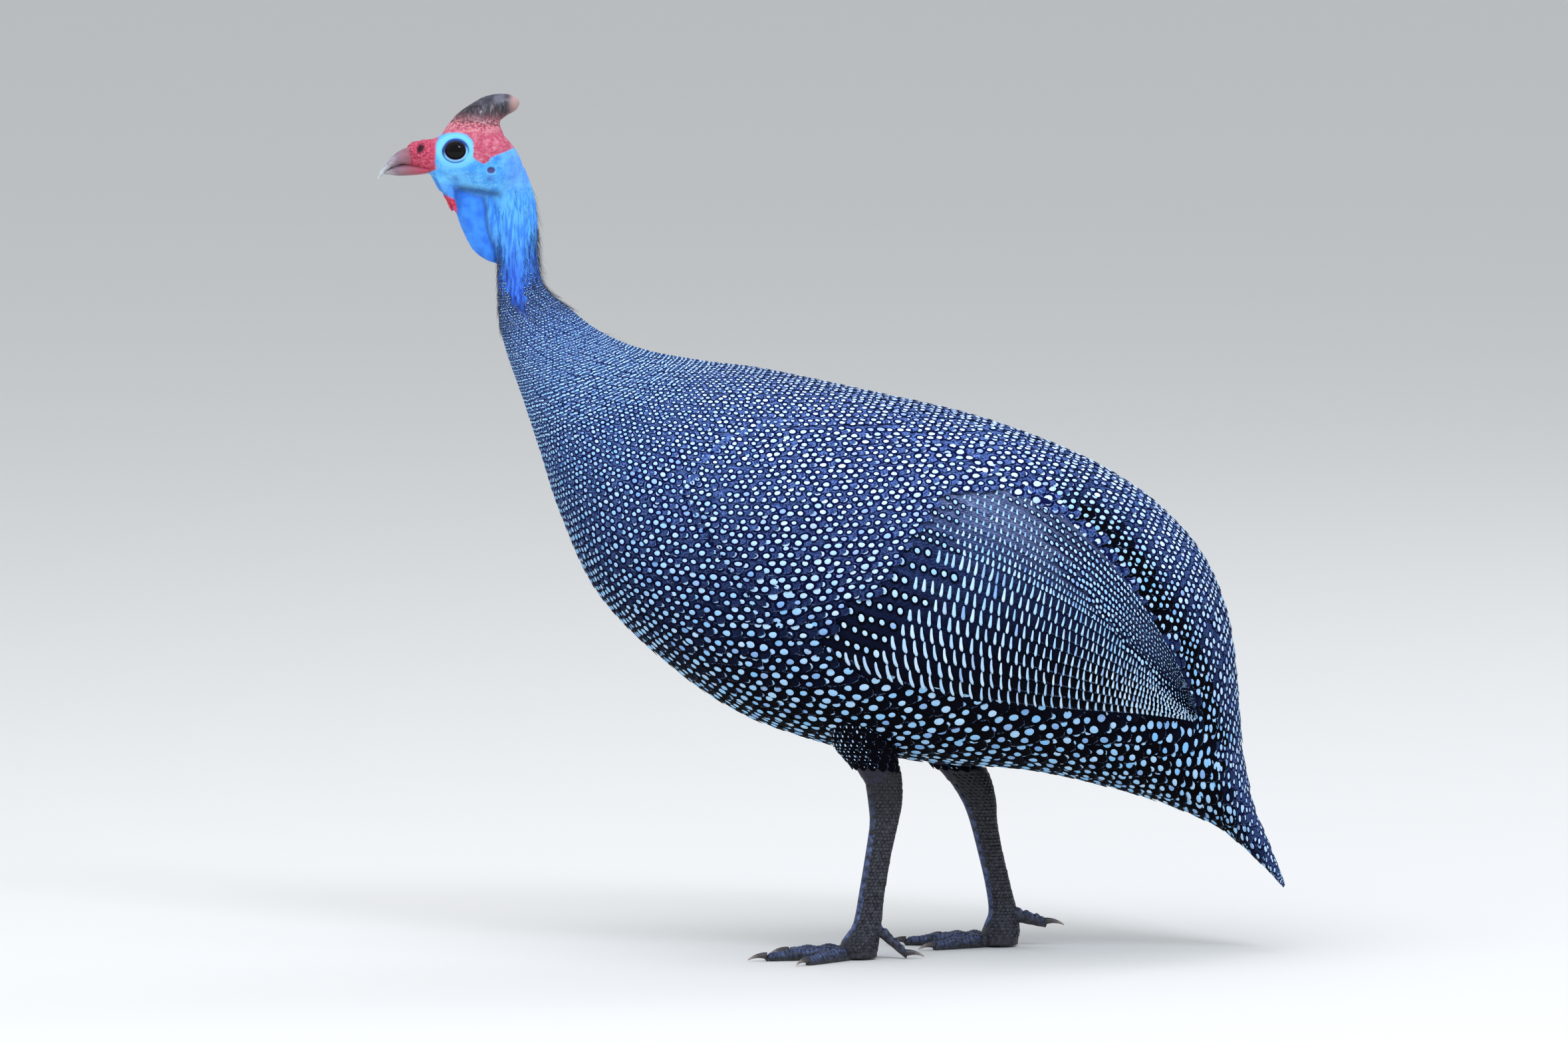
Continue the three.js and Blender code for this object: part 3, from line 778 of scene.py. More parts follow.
def skin_material():
    """Bare skin, thin and full of blood: blue cheeks and neck, red warty brow, scarlet wattle tips."""
    made, tree, shader = material("bare_guineafowl_skin", 0.5, 0.35)
    shader.inputs["Subsurface Weight"].default_value = 0.08
    shader.inputs["Subsurface Radius"].default_value = (1.0, 0.5, 0.4)
    shader.inputs["Subsurface Scale"].default_value = 0.001
    place = node(tree, "TexCoord")
    grain = node(tree, "TexNoise", {"Vector": place, "Scale": 900.0, "Detail": 4.0, "Roughness": 0.65})
    patches = node(tree, "TexNoise", {"Vector": place, "Scale": 200.0, "Detail": 3.0})
    ragged = node(tree, "Math", {0: node(tree, "Math", {0: grain, 1: 0.5}, operation="SUBTRACT"), 1: 1.3},
        operation="MULTIPLY")
    red = node(tree, "MapRange", {
        0: node(tree, "Math", {0: node(tree, "Attribute", attribute_name="red"), 1: ragged},
            operation="ADD"), 1: -0.4, 2: 0.4})
    neck = node(tree, "Attribute", attribute_name="neck")
    eye = node(tree, "Attribute", attribute_name="eye")
    blues, streaks = blue_skin(tree, place, grain, patches, neck, eye)
    reds, pebbles = red_skin(tree, place, grain)
    bare = node(tree, "Mix", {0: red, 6: blues, 7: reds})
    scarlet = node(tree, "Mix", {
        0: node(tree, "MapRange", {0: grain, 1: 0.4, 2: 0.62}), 6: "#C01F3C", 7: "#E2485C"})
    bare = node(tree, "Mix", {0: node(tree, "Attribute", attribute_name="tip"), 6: bare, 7: scarlet})
    # Painted shade: the nostril's pit is darkened almost to black
    bare = node(tree, "Mix", {
        0: node(tree, "Math", {0: node(tree, "Attribute", attribute_name="pit"), 1: 0.95},
            operation="MULTIPLY"), 6: bare, 7: "#23121A"})
    bare = node(tree, "Mix", {0: node(tree, "Attribute", attribute_name="drum"), 6: bare, 7: "#55528A"})
    covered = node(tree, "Mix", {
        0: node(tree, "MapRange", {0: grain, 1: 0.4, 2: 0.6}), 6: "#100F18", 7: "#232238"})
    tree.links.new(
        node(tree, "Mix", {0: node(tree, "Attribute", attribute_name="covered"), 6: bare, 7: covered}),
        shader.inputs["Base Color"])
    fine_bump = node(tree, "Bump", {"Strength": 0.3, "Distance": 0.0003, "Height": grain})
    pebble_bump = node(tree, "Bump", {
        "Strength": node(tree, "Math", {0: red, 1: 0.8}, operation="MULTIPLY"), "Distance": 0.0004,
        "Height": pebbles, "Normal": fine_bump})
    streak_bump = node(tree, "Bump", {
        "Strength": node(tree, "Math", {0: neck, 1: 0.5}, operation="MULTIPLY"), "Distance": 0.0005,
        "Height": streaks, "Normal": pebble_bump})
    tree.links.new(streak_bump, shader.inputs["Normal"])
    return made


def blue_skin(tree, place, grain, patches, neck, eye):
    """Blues: sky blue cheek and eye field, streaked neck, deep blue throat fold, lavender nape."""
    cheek = node(tree, "Mix", {
        0: node(tree, "MapRange", {0: patches, 1: 0.35, 2: 0.68}), 6: "#3C96E2", 7: "#62B8F0"})
    cheek = node(tree, "Mix", {
        0: node(tree, "Math", {0: node(tree, "MapRange", {0: grain, 1: 0.54, 2: 0.66}), 1: 0.5},
            operation="MULTIPLY"), 6: cheek, 7: "#8ECDF4"})
    cheek = node(tree, "Mix", {
        0: node(tree, "Math", {0: 1.0, 1: node(tree, "MapRange", {0: eye, 1: 3.0, 2: 5.5})},
            operation="SUBTRACT"), 6: cheek, 7: "#6FC2F4"})
    # Fine paler streaks run down the neck, about a millimetre apart
    upright = node(tree, "Mapping", {0: place, 3: (1.0, 1.0, 0.14)})
    streaks = node(tree, "TexNoise", {"Vector": upright, "Scale": 800.0, "Detail": 3.0, "Roughness": 0.6})
    height = node(tree, "SeparateXYZ", {0: place}, out=2)
    lower = node(tree, "MapRange", {0: height, 1: 0.335, 2: 0.3})
    neck_blue = node(tree, "Mix", {
        0: node(tree, "MapRange", {0: streaks, 1: 0.36, 2: 0.66}), 6: "#3484E2", 7: "#60B6F2"})
    deep_blue = node(tree, "Mix", {
        0: node(tree, "MapRange", {0: streaks, 1: 0.36, 2: 0.66}), 6: "#1B45B8", 7: "#3A7CE0"})
    neck_blue = node(tree, "Mix", {0: lower, 6: neck_blue, 7: deep_blue})
    blues = node(tree, "Mix", {0: neck, 6: cheek, 7: neck_blue})
    blues = node(tree, "Mix", {
        0: node(tree, "Math", {0: node(tree, "Attribute", attribute_name="nape"), 1: 0.45},
            operation="MULTIPLY"), 6: blues, 7: "#6288DA"})
    fold_blue = node(tree, "Mix", {
        0: node(tree, "MapRange", {0: patches, 1: 0.3, 2: 0.7}), 6: "#2470DC", 7: "#3A90F0"})
    blues = node(tree, "Mix", {0: node(tree, "Attribute", attribute_name="fold"), 6: blues, 7: fold_blue})
    blues = node(tree, "Mix", {
        0: node(tree, "Math", {0: node(tree, "Attribute", attribute_name="wattle"), 1: 0.7},
            operation="MULTIPLY"), 6: blues, 7: "#4C92E0"})
    blues = node(tree, "Mix", {
        0: node(tree, "Attribute", attribute_name="shade"), 6: blues, 7: "#253F70"})
    # A dark line of painted shade runs in the crease round the lids, mostly below the eye
    off_line = node(tree, "Math", {0: node(tree, "Math", {0: eye, 1: 1.35}, operation="SUBTRACT")},
        operation="ABSOLUTE")
    line = node(tree, "Math", {0: 1.0, 1: node(tree, "MapRange", {0: off_line, 1: 0.05, 2: 0.6})},
        operation="SUBTRACT")
    below = node(tree, "Math", {0: node(tree, "Attribute", attribute_name="under_eye"), 1: 0.8},
        operation="MULTIPLY")
    blues = node(tree, "Mix", {
        0: node(tree, "Math", {0: line, 1: below}, operation="MULTIPLY"), 6: blues, 7: "#1F4FA6"})
    # The brow shades the upper lid
    hooded = node(tree, "Math", {0: 1.0, 1: node(tree, "MapRange", {0: eye, 1: 0.9, 2: 1.9})},
        operation="SUBTRACT")
    over_eye = node(tree, "Attribute", attribute_name="over_eye")
    blues = node(tree, "Mix", {
        0: node(tree, "Math", {0: hooded, 1: over_eye}, operation="MULTIPLY"), 6: blues, 7: "#182868"})
    blues = node(tree, "Mix", {0: node(tree, "Attribute", attribute_name="mark"), 6: blues, 7: "#2B55B4"})
    # The rim of the lid is pale and moist, and dark where it meets the eyeball; its paleness is painted
    # strong on the lower lid as lit and faint on the upper lid, which the brow shades
    lid = node(tree, "Math", {0: 1.0, 1: node(tree, "MapRange", {0: eye, 1: 0.35, 2: 0.85})},
        operation="SUBTRACT")
    lit = node(tree, "Math", {0: over_eye, 1: -0.85, 2: 0.9}, operation="MULTIPLY_ADD")
    blues = node(tree, "Mix", {
        0: node(tree, "Math", {0: lid, 1: lit}, operation="MULTIPLY"), 6: blues, 7: "#90B8D8"})
    inner = node(tree, "Math", {0: 1.0, 1: node(tree, "MapRange", {0: eye, 1: 0.1, 2: 0.35})},
        operation="SUBTRACT")
    blues = node(tree, "Mix", {
        0: node(tree, "Math", {0: inner, 1: 0.9}, operation="MULTIPLY"), 6: blues, 7: "#121838"})
    return blues, streaks


def red_skin(tree, place, grain):
    """Reds: finely pebbled, blood red on the cere and brow, paler and flaking towards the casque."""
    cells = node(tree, "TexVoronoi", {"Vector": place, "Scale": 1250.0}, out="Distance")
    pebbles = node(tree, "Math", {0: 1.0, 1: cells}, operation="SUBTRACT")
    mottling = node(tree, "TexNoise", {"Vector": place, "Scale": 420.0, "Detail": 3.0})
    reds = node(tree, "Mix", {
        0: node(tree, "MapRange", {0: cells, 1: 0.1, 2: 0.75}), 6: "#C9627A", 7: "#AE3E58"})
    reds = node(tree, "Mix", {
        0: node(tree, "Math", {0: node(tree, "MapRange", {0: mottling, 1: 0.42, 2: 0.62}), 1: 0.6},
            operation="MULTIPLY"), 6: reds, 7: "#D98A98"})
    reds = node(tree, "Mix", {
        0: node(tree, "Math", {0: node(tree, "MapRange", {0: grain, 1: 0.45, 2: 0.6}), 1: 0.5},
            operation="MULTIPLY"), 6: reds, 7: "#B8405A"})
    crown = node(tree, "Attribute", attribute_name="crown")
    # Pale flakes and dark specks of horn towards the casque
    flaky = node(tree, "Math", {
        0: node(tree, "MapRange", {0: crown, 1: 0.1, 2: 0.7}),
        1: node(tree, "MapRange", {0: grain, 1: 0.47, 2: 0.57})}, operation="MULTIPLY")
    reds = node(tree, "Mix", {
        0: node(tree, "Math", {0: flaky, 1: 0.45}, operation="MULTIPLY"), 6: reds, 7: "#DDA9A0"})
    dark = node(tree, "Math", {
        0: node(tree, "MapRange", {0: crown, 1: 0.5, 2: 0.95}),
        1: node(tree, "MapRange", {0: grain, 1: 0.5, 2: 0.45})}, operation="MULTIPLY")
    reds = node(tree, "Mix", {
        0: node(tree, "Math", {0: dark, 1: 0.6}, operation="MULTIPLY"), 6: reds, 7: "#3F2A30"})
    cere = node(tree, "Mix", {
        0: node(tree, "MapRange", {0: grain, 1: 0.4, 2: 0.62}), 6: "#A82848", 7: "#CC566C"})
    reds = node(tree, "Mix", {0: node(tree, "Attribute", attribute_name="cere"), 6: reds, 7: cere})
    return reds, pebbles


def casque_material():
    """Weathered horn: flaking and speckled at its foot, streaked grey brown above, pinkish at its tip."""
    made, tree, shader = material("weathered_casque_horn", 0.38, 0.5)
    place = node(tree, "TexCoord")
    length = node(tree, "SeparateXYZ", {0: place})
    height = node(tree, "SeparateXYZ", {0: place}, out=2)
    flakes = node(tree, "TexNoise", {"Vector": place, "Scale": 900.0, "Detail": 5.0, "Roughness": 0.7})
    broad = node(tree, "TexNoise", {"Vector": place, "Scale": 180.0, "Detail": 2.0})
    # Growth streaks about a millimetre wide run up the sides
    upright = node(tree, "Mapping", {0: place, 3: (1.0, 1.0, 0.22)})
    growth = node(tree, "TexNoise", {
        "Vector": upright, "Scale": 700.0, "Detail": 4.0, "Roughness": 0.65, "Distortion": 0.4})
    streaked = node(tree, "ValToRGB", {0: growth}, stops=[
        (0.34, "#0E0B12"), (0.47, "#292229"), (0.58, "#43393F"), (0.7, "#93857F")])
    wavy = node(tree, "Math", {
        0: node(tree, "Math", {0: flakes, 1: 0.5}, operation="SUBTRACT"), 1: 0.012, 2: height},
        operation="MULTIPLY_ADD")
    foot = node(tree, "Math", {0: 1.0, 1: node(tree, "MapRange", {0: wavy, 1: 0.375, 2: 0.3818})},
        operation="SUBTRACT")
    speckled = node(tree, "ValToRGB", {0: flakes}, stops=[
        (0.37, "#33252A"), (0.44, "#7A4650"), (0.51, "#B4566A"), (0.59, "#DDA9A0")])
    horn = node(tree, "Mix", {
        0: node(tree, "Math", {0: foot, 1: 0.9}, operation="MULTIPLY"), 6: streaked, 7: speckled})
    # The smooth top is paler grey, partly its own colour and partly a painted sheen of the sky on its upper
    # side
    smooth_top_and_sheen = node(tree, "Mix", {
        0: node(tree, "MapRange", {0: broad, 1: 0.35, 2: 0.65}), 6: "#3D3E4C", 7: "#6A6874"})
    top = node(tree, "MapRange", {
        0: node(tree, "Math", {0: broad, 1: 0.004, 2: height}, operation="MULTIPLY_ADD"), 1: 0.3845,
        2: 0.3905})
    horn = node(tree, "Mix", {
        0: node(tree, "Math", {0: top, 1: 0.75}, operation="MULTIPLY"), 6: horn, 7: smooth_top_and_sheen})
    tip = node(tree, "MapRange", {
        0: node(tree, "Math", {0: broad, 1: 0.003, 2: length}, operation="MULTIPLY_ADD"), 1: -0.146,
        2: -0.1405})
    horn = node(tree, "Mix", {
        0: node(tree, "Math", {0: tip, 1: 0.85}, operation="MULTIPLY"), 6: horn, 7: "#B8938C"})
    tree.links.new(horn, shader.inputs["Base Color"])
    bump = node(tree, "Bump", {"Strength": 0.5, "Distance": 0.0004, "Height": growth})
    tree.links.new(bump, shader.inputs["Normal"])
    return made


def bill_material():
    """Horn of the bill: pinkish brown at its base, grey further out, and pale at its tip."""
    made, tree, shader = material("bill_horn", 0.35, 0.45)
    place = node(tree, "TexCoord")
    length = node(tree, "SeparateXYZ", {0: place})
    lengthwise = node(tree, "Mapping", {0: place, 3: (0.35, 1.2, 1.2)})
    grain = node(tree, "TexNoise", {"Vector": lengthwise, "Scale": 700.0, "Detail": 4.0})
    wavy = node(tree, "Math", {
        0: node(tree, "Math", {0: grain, 1: 0.5}, operation="SUBTRACT"), 1: 0.004, 2: length},
        operation="MULTIPLY_ADD")
    along = node(tree, "MapRange", {0: wavy, 1: -0.205, 2: -0.185, 3: 0.0, 4: 1.0},
        interpolation_type="LINEAR")
    horn = node(tree, "ValToRGB", {0: along}, stops=[
        (0.0, "#C2CFCC"), (0.2, "#A7A5A9"), (0.45, "#866C78"), (0.75, "#96525F"), (1.0, "#AC3A52")])
    dust = node(tree, "Math", {0: node(tree, "MapRange", {0: grain, 1: 0.45, 2: 0.7}), 1: 0.6},
        operation="MULTIPLY")
    tree.links.new(node(tree, "Mix", {0: dust, 6: horn, 7: "#6E585F"}), shader.inputs["Base Color"])
    bump = node(tree, "Bump", {"Strength": 0.15, "Distance": 0.0002, "Height": grain})
    tree.links.new(bump, shader.inputs["Normal"])
    return made


def eye_material():
    """Wet eye: black pupil and near-black brown iris under a clear cornea."""
    made, tree, shader = material("wet_eye", 0.04, 0.18)
    from_axis = node(tree, "Attribute", attribute_name="from_axis")
    # The pupil ends 2.7 mm from the eye's axis, and the iris 4.3 mm from it
    colour = node(tree, "Mix", {
        0: node(tree, "MapRange", {0: from_axis, 1: 2.6, 2: 2.8}), 6: "#020203", 7: "#0E0807"})
    colour = node(tree, "Mix", {
        0: node(tree, "MapRange", {0: from_axis, 1: 4.0, 2: 4.6}), 6: colour, 7: "#030304"})
    tree.links.new(colour, shader.inputs["Base Color"])
    return made


def leg_material():
    """Horny scales of legs and toes: slate and dusty, paler and bluer on the plates of their tops, partly
    as a painted sheen of the sky, near black between them.
    """
    made, tree, shader = material("slate_leg_scale", 0.5, 0.45)
    place = node(tree, "TexCoord")
    grain = node(tree, "TexNoise", {"Vector": place, "Scale": 600.0, "Detail": 5.0, "Roughness": 0.65})
    height = node(tree, "SeparateXYZ", {0: place}, out=2)
    low = node(tree, "Math", {0: 1.0, 1: node(tree, "MapRange", {0: height, 1: 0.05, 2: 0.082})},
        operation="SUBTRACT")
    granular = node(tree, "Mix", {
        0: node(tree, "MapRange", {0: grain, 1: 0.36, 2: 0.66}), 6: "#121217", 7: "#44454F"})
    # The plates are paler and bluer than the small scales: partly their own colour, partly a painted sheen
    # of the sky
    plated = node(tree, "Mix", {
        0: node(tree, "MapRange", {0: grain, 1: 0.34, 2: 0.68}), 6: "#27324F", 7: "#566591"})
    slate = node(tree, "Mix", {
        0: node(tree, "Attribute", attribute_name="plate"), 6: granular, 7: plated})
    black = node(tree, "Mix", {
        0: node(tree, "MapRange", {0: grain, 1: 0.4, 2: 0.7}), 6: "#0A0A0E", 7: "#24262E"})
    base = node(tree, "Mix", {0: low, 6: black, 7: slate})
    worn = node(tree, "Math", {0: node(tree, "Attribute", attribute_name="tone"), 1: 0.45},
        operation="MULTIPLY")
    tree.links.new(node(tree, "Mix", {0: worn, 6: base, 7: "#121217"}), shader.inputs["Base Color"])
    bump = node(tree, "Bump", {"Strength": 0.35, "Distance": 0.0003, "Height": grain})
    tree.links.new(bump, shader.inputs["Normal"])
    return made


def claw_material():
    """Claw horn: dark at the root and worn pale grey at the point."""
    made, tree, shader = material("claw_horn", 0.4, 0.5)
    own = node(tree, "UVMap", uv_map="Detail")
    along = node(tree, "SeparateXYZ", {0: own}, out=1)
    place = node(tree, "TexCoord")
    grain = node(tree, "TexNoise", {"Vector": place, "Scale": 700.0, "Detail": 3.0})
    uneven = node(tree, "Math", {0: node(tree, "Math", {0: grain, 1: 0.5}, operation="SUBTRACT"), 1: 0.4},
        operation="MULTIPLY")
    worn = node(tree, "Math", {0: along, 1: uneven}, operation="ADD")
    colour = node(tree, "ValToRGB", {0: worn}, stops=[
        (0.0, "#2B2829"), (0.5, "#4A4444"), (1.0, "#A79A8E")])
    tree.links.new(colour, shader.inputs["Base Color"])
    return made


def floor_material():
    """Matt pale studio floor."""
    made, _, shader = material("pale_studio_floor", 0.8, 0.2)
    shader.inputs["Base Color"].default_value = linear("#DEDAD2")
    return made


# Body and wing surfaces

def body_points():
    """Places on the body from jaw to tail, further apart under the belly than on the back."""
    t = np.linspace(0, 1, 441)[:, None]
    angle = np.linspace(0, 2 * math.pi, 721)[None, :]
    fine = section_tube(BODY, t, angle, BODY_FULLNESS, BODY_SAG)
    spread = 1 + np.interp(t, *BELLY_SPREAD) * fade((1 - np.cos(angle)) / 2, 0.3, 0.85)
    steps = np.linalg.norm(np.diff(fine, axis=1), axis=2) / spread[:, 1:]
    run = np.concatenate([np.zeros((len(t), 1)), np.cumsum(steps, axis=1)], axis=1)
    run /= run[:, -1:]
    q = np.linspace(0, 1, 320, endpoint=False)
    return np.stack([np.stack([np.interp(q, run[i], fine[i, :, k]) for k in range(3)], -1)
                     for i in range(len(t))])


def wing_edges(t):
    """Upper and lower edge of the folded wing in side view, from its shoulder to its tip."""
    top = smooth_line([(x, 0, z) for (x, z), _ in WING], t)
    low = smooth_line([(x, 0, z) for _, (x, z) in WING], t)
    return top, low


def wing_sheet(steps, sides):
    """The folded wing seen from its side, with its swell over the flank as height along Y."""
    bm = bmesh.new()
    bmesh.ops.create_grid(bm, x_segments=sides, y_segments=steps, size=1)
    grid = np.array([v.co for v in bm.verts], float)
    t, c = (grid[:, 1] + 1) / 2, -grid[:, 0]
    top, low = wing_edges(t)
    points = (top + low) / 2 + (top - low) / 2 * c[:, None]
    points[:, 1] = wing_swell(t, c)
    for v, point in zip(bm.verts, points):
        v.co = Vector(point)
    return bm


def wing_swell(t, c):
    """How far the wing stands out over the flank; c is -1 and 1 at its edges."""
    slim = mix(0.3, 1, np.sqrt(np.maximum(0, np.sin(math.pi * t))))
    return WING_EDGE + np.sqrt(np.maximum(0, 1 - c * c)) * slim * WING_BULGE


class Bird:
    """The surfaces that everything is laid on."""

    def __init__(self):
        points = body_points()
        rows, columns = 90, 60
        sheet = wing_sheet(rows, columns)
        tree = BVHTree.FromBMesh(sheet)
        sheet.free()
        self.wing_place = np.full(points.shape[:2] + (2,), -1.0)
        flat = points.reshape(-1, 3)
        place = self.wing_place.reshape(-1, 2)
        for i, (x, y, z) in enumerate(flat):
            if abs(y) < WING_FROM_MIDDLE or not WING_REACH[0] < x < WING_REACH[1]:
                continue
            hit, _, face, _ = tree.ray_cast(Vector((x, 100, z)), Vector((0, -1, 0)))
            if hit is not None:
                flat[i, 1] += math.copysign(hit.y, y)
                place[i] = ((face // columns) / rows, (face % columns) / columns)
        hollow = self.groove(flat, place)
        flat[:, 1] *= 1 - GROOVE_DEPTH * hollow
        self.hollow = hollow.reshape(points.shape[:2])
        self.body = Lie(placed(points))
        trunk = closed_tube(lambda t, a: section_tube(BODY, t, a, BODY_FULLNESS, BODY_SAG), 120, 120)
        self.flank = BVHTree.FromBMesh(trunk)
        trunk.free()

    def groove(self, points, place):
        """1 along the groove where the rump draws in beside the upper edge of the folded wing."""
        t = np.linspace(0, 1, 60)
        top, low = wing_edges(t)
        outline = np.vstack([top, low[::-1]])[:, [0, 2]]
        near = (place[:, 0] < 0) & (np.abs(points[:, 1]) > WING_FROM_MIDDLE)
        near &= (points[:, 0] > GROOVE_REACH[0]) & (points[:, 0] < GROOVE_REACH[1])
        share = np.zeros(len(points))
        off = -outline_distance(points[near, 0], points[near, 2], outline)
        above = points[near, 2] > np.interp(points[near, 0], top[:, 0], top[:, 2]) - 4
        share[near] = np.exp(-(off / GROOVE_WIDTH) ** 2) * above * fade(points[near, 0], *GROOVE_FADES_IN)
        return share

    def half_width(self, x, z):
        """Half the width of the trunk at places in side view."""
        wide = np.zeros(len(x))
        for i in range(len(x)):
            hit = self.flank.ray_cast(Vector((x[i], -200, z[i])), Vector((0, 1, 0)))[0]
            wide[i] = -hit.y if hit is not None else 0
        return wide

    def wing(self, side, steps=120, sides=50):
        """Surface of one folded wing: t from shoulder to tip, q from its upper edge to its lower."""
        grids = np.meshgrid(np.linspace(0, 1, steps), np.linspace(0, 1, sides), indexing="ij")
        t, q = [grid.ravel() for grid in grids]
        top, low = wing_edges(t)
        c = 1 - 2 * q
        points = (top + low) / 2 + (top - low) / 2 * c[:, None]
        points[:, 1] = -(self.half_width(points[:, 0], points[:, 2]) + wing_swell(t, c))
        points = placed(points.reshape(steps, sides, 3))
        if side > 0:
            points = points[:, ::-1].copy()
            points[..., 1] *= -1
        return Lie(points, closed=False)


# Feathers

def coat_rows(bird):
    """Root places of each tract: rows along the lie, every other row set half a feather round."""
    lie = bird.body
    t, row, tracts = COAT_START, 0, {}
    for name, parts in TRACTS.items():
        roots = []
        for end, count in parts:
            while t < end:
                q = (np.arange(count) + (0.5 if row % 2 else 0.0)) / count
                spot = lie.at(lie.across, np.array(t), q) / count / 2
                roots.append(np.stack([np.full(count, t), q, spot], -1))
                t += 2 * ROW_STEP * spot.mean() / lie.at(lie.along, np.array(t), q).mean()
                row += 1
        tracts[name] = np.concatenate(roots)
    return tracts


def vane_height(across, along, length, half):
    """Height of a vane's upper side: it rises towards its tip, and one edge laps over its neighbour."""
    return VANE_ROLL * across - VANE_SLOPE * (length - along) - VANE_CAMBER * half * (across / half) ** 2


def under_wing(bird, t, q):
    """True where a place of the coat lies under the long feathers of the folded wing."""
    place = bird.body.at(bird.wing_place, t, q)
    return (place[..., 0] > strips_start(place[..., 1])) & (place[..., 0] > 0)


def strips_start(q):
    """Where along the wing the coverts end and its long feathers show, from its upper to its lower edge."""
    return np.interp(q, [0, 0.18, 0.42, 1], [0.50, 0.42, 0.375, 0.265])


def bare_below(t, q):
    """True on the blue skin that runs down each side of the neck to a point between the first feathers."""
    side = np.minimum(np.abs(q - 0.27), np.abs(q - 0.73))
    return t < 0.13 + 0.09 * np.exp(-(side / 0.075) ** 2)


def way_round(q):
    """Share of the way round from q = 0, up to a half on the far side."""
    return np.abs(((q + 0.5) % 1) - 0.5)


def fleck_and_sheen_at(points):
    """How strongly the ground is flecked and lit by a painted sheen of the sky: most on neck and back,
    least on the lower flank.
    """
    x, z = points[..., 0] / MM, points[..., 2] / MM
    flecks_and_sheen = fade(z + 0.12 * x, 115, 248)
    return np.maximum(flecks_and_sheen, 0.6 * fade(x + 0.25 * z, 188, 206))


def build_contour_feathers(bird, looks):
    """Overlapping feathers from collar to tail, each with spots on dark rings, drawn wide on the collar."""
    for name, roots in coat_rows(bird).items():
        vanes, spots, rings = Pieces(), Pieces(), Pieces()
        lay_feathers(bird, roots, vanes, spots, rings)
        vanes.build(f"{name}_feathers", looks["plumage"], "plumage")
        spots.build(f"{name}_spots", looks["spot"], "plumage")
        rings.build(f"{name}_spot_surrounds", looks["surround"], "plumage")


def lay_feathers(bird, roots, vanes, spots, rings):
    """The feathers of one tract, a little uneven in turn and height, and their spots in two rows."""
    lie = bird.body
    t0, q0, spot = roots.T
    length = VANE_LENGTH * spot
    tip = t0 + (length - 1.2 * spot) / lie.at(lie.along, t0, q0)
    keep = ~under_wing(bird, tip, q0) & ~bare_below(tip, q0)
    t0, q0, spot, length = [v[keep] for v in (t0, q0, spot, length)]
    number = len(t0)
    spot = spot * random.uniform(0.94, 1.06, number)
    half = VANE_WIDTH * spot
    place = lie.at(lie.points, t0, q0)
    hollow = lie.at(bird.hollow, t0, q0)
    # Flecking and painted sheen fade out along the groove beside the wing
    fleck = fleck_and_sheen_at(place) * (1 - np.minimum(1, 1.6 * hollow))
    upper = fade(place[:, 0] / MM, -130, -10) * fleck
    root = unwrap(t0, q0)
    turn = random.normal(0, 0.07, number)
    raised = random.normal(0, 0.016, number) * spot

    def lay(pieces, shape, u, v, lift, **values):
        """Lays copies of a shape, given in each feather's own distances."""
        height = vane_height(u, v, length[:, None], half[:, None]) + raised[:, None] + lift * spot[:, None]
        c, s = np.cos(turn)[:, None], np.sin(turn)[:, None]
        pieces.add(shape, lie.lay(t0[:, None], q0[:, None], u * c + v * s, v * c - u * s, height),
                   np.stack([u, v], -1) * 100, root, fleck=fleck, **values)

    lay(vanes, VANE, VANE.at[None, :, 0] * half[:, None], VANE.at[None, :, 1] * length[:, None],
        VANE.at[None, :, 2] * VANE_THICKNESS, tone=random.uniform(0, 1, number), rim=VANE.rim)
    fine = 1 - fade(spot, 1.9 * MM, 2.5 * MM)
    for side, back in ((-0.5, 0), (0.5, 0), (0, 1), (1, 1)):
        cx = (side + random.normal(0, 0.05, number)) * spot
        cy = length - (1.05 + back * ROW_STEP + random.normal(0, 0.05, number)) * spot
        size = SPOT_SIZE * mix(1, TAIL_SPOT, fade(t0, 0.78, 0.88)) * spot
        size *= mix(COLLAR_SPOT, 1, fade(t0, 0.2, 0.32))
        size = size * random.uniform(0.82, 1.1, number)
        wide = size * mix(random.uniform(0.9, 1.12, number), 1.9, fine)
        tall = size * mix(random.uniform(0.95, 1.2, number), 0.8, fine)
        lean = random.normal(0, 0.6, number) * (1 - fine)
        egg = random.uniform(-0.3, 0.3, number)
        blue = np.clip(0.74 - 0.6 * upper + random.normal(0, 0.12, number), 0, 1)
        for pieces, shape, grow, lift in ((spots, SPOT, 1, SPOT_LIFT), (rings, RING, HALO_SIZE, HALO_LIFT)):
            x = shape.at[None, :, 0] * (wide * grow)[:, None] * (1 + egg[:, None] * shape.at[None, :, 1])
            y = shape.at[None, :, 1] * (tall * grow)[:, None]
            c, s = np.cos(lean)[:, None], np.sin(lean)[:, None]
            lay(pieces, shape, cx[:, None] + x * c - y * s, cy[:, None] + x * s + y * c,
                lift + shape.at[None, :, 2] * SPOT_THICKNESS, tone=random.uniform(0, 1, number), blue=blue)


# Long feathers of the folded wing: barred ones below, flecked and dotted ones above, in millimetres
BARRED = 9
DOTTED = 10
BARRED_TOP = 0.40
STRIP_LIFT = 0.8
# Distance between bars on the lowest and highest barred feather, at their near end and at their far end
BAR_GAP = ((5.3, 3.7), (4.1, 3.1))
BAR_WIDTH = (1.1, 0.62)
# Size of a dot and distance to the next, before the bars of a barred feather and on a flecked one
BARRED_DOT = (1.5, 4.9)
FLECKED_DOT = (1.0, 4.1)
# On the long feathers: the distance that lifts of spots and rings are shares of, and a mark's thickness
MARK_SCALE = 5
MARK_THICKNESS = 0.2


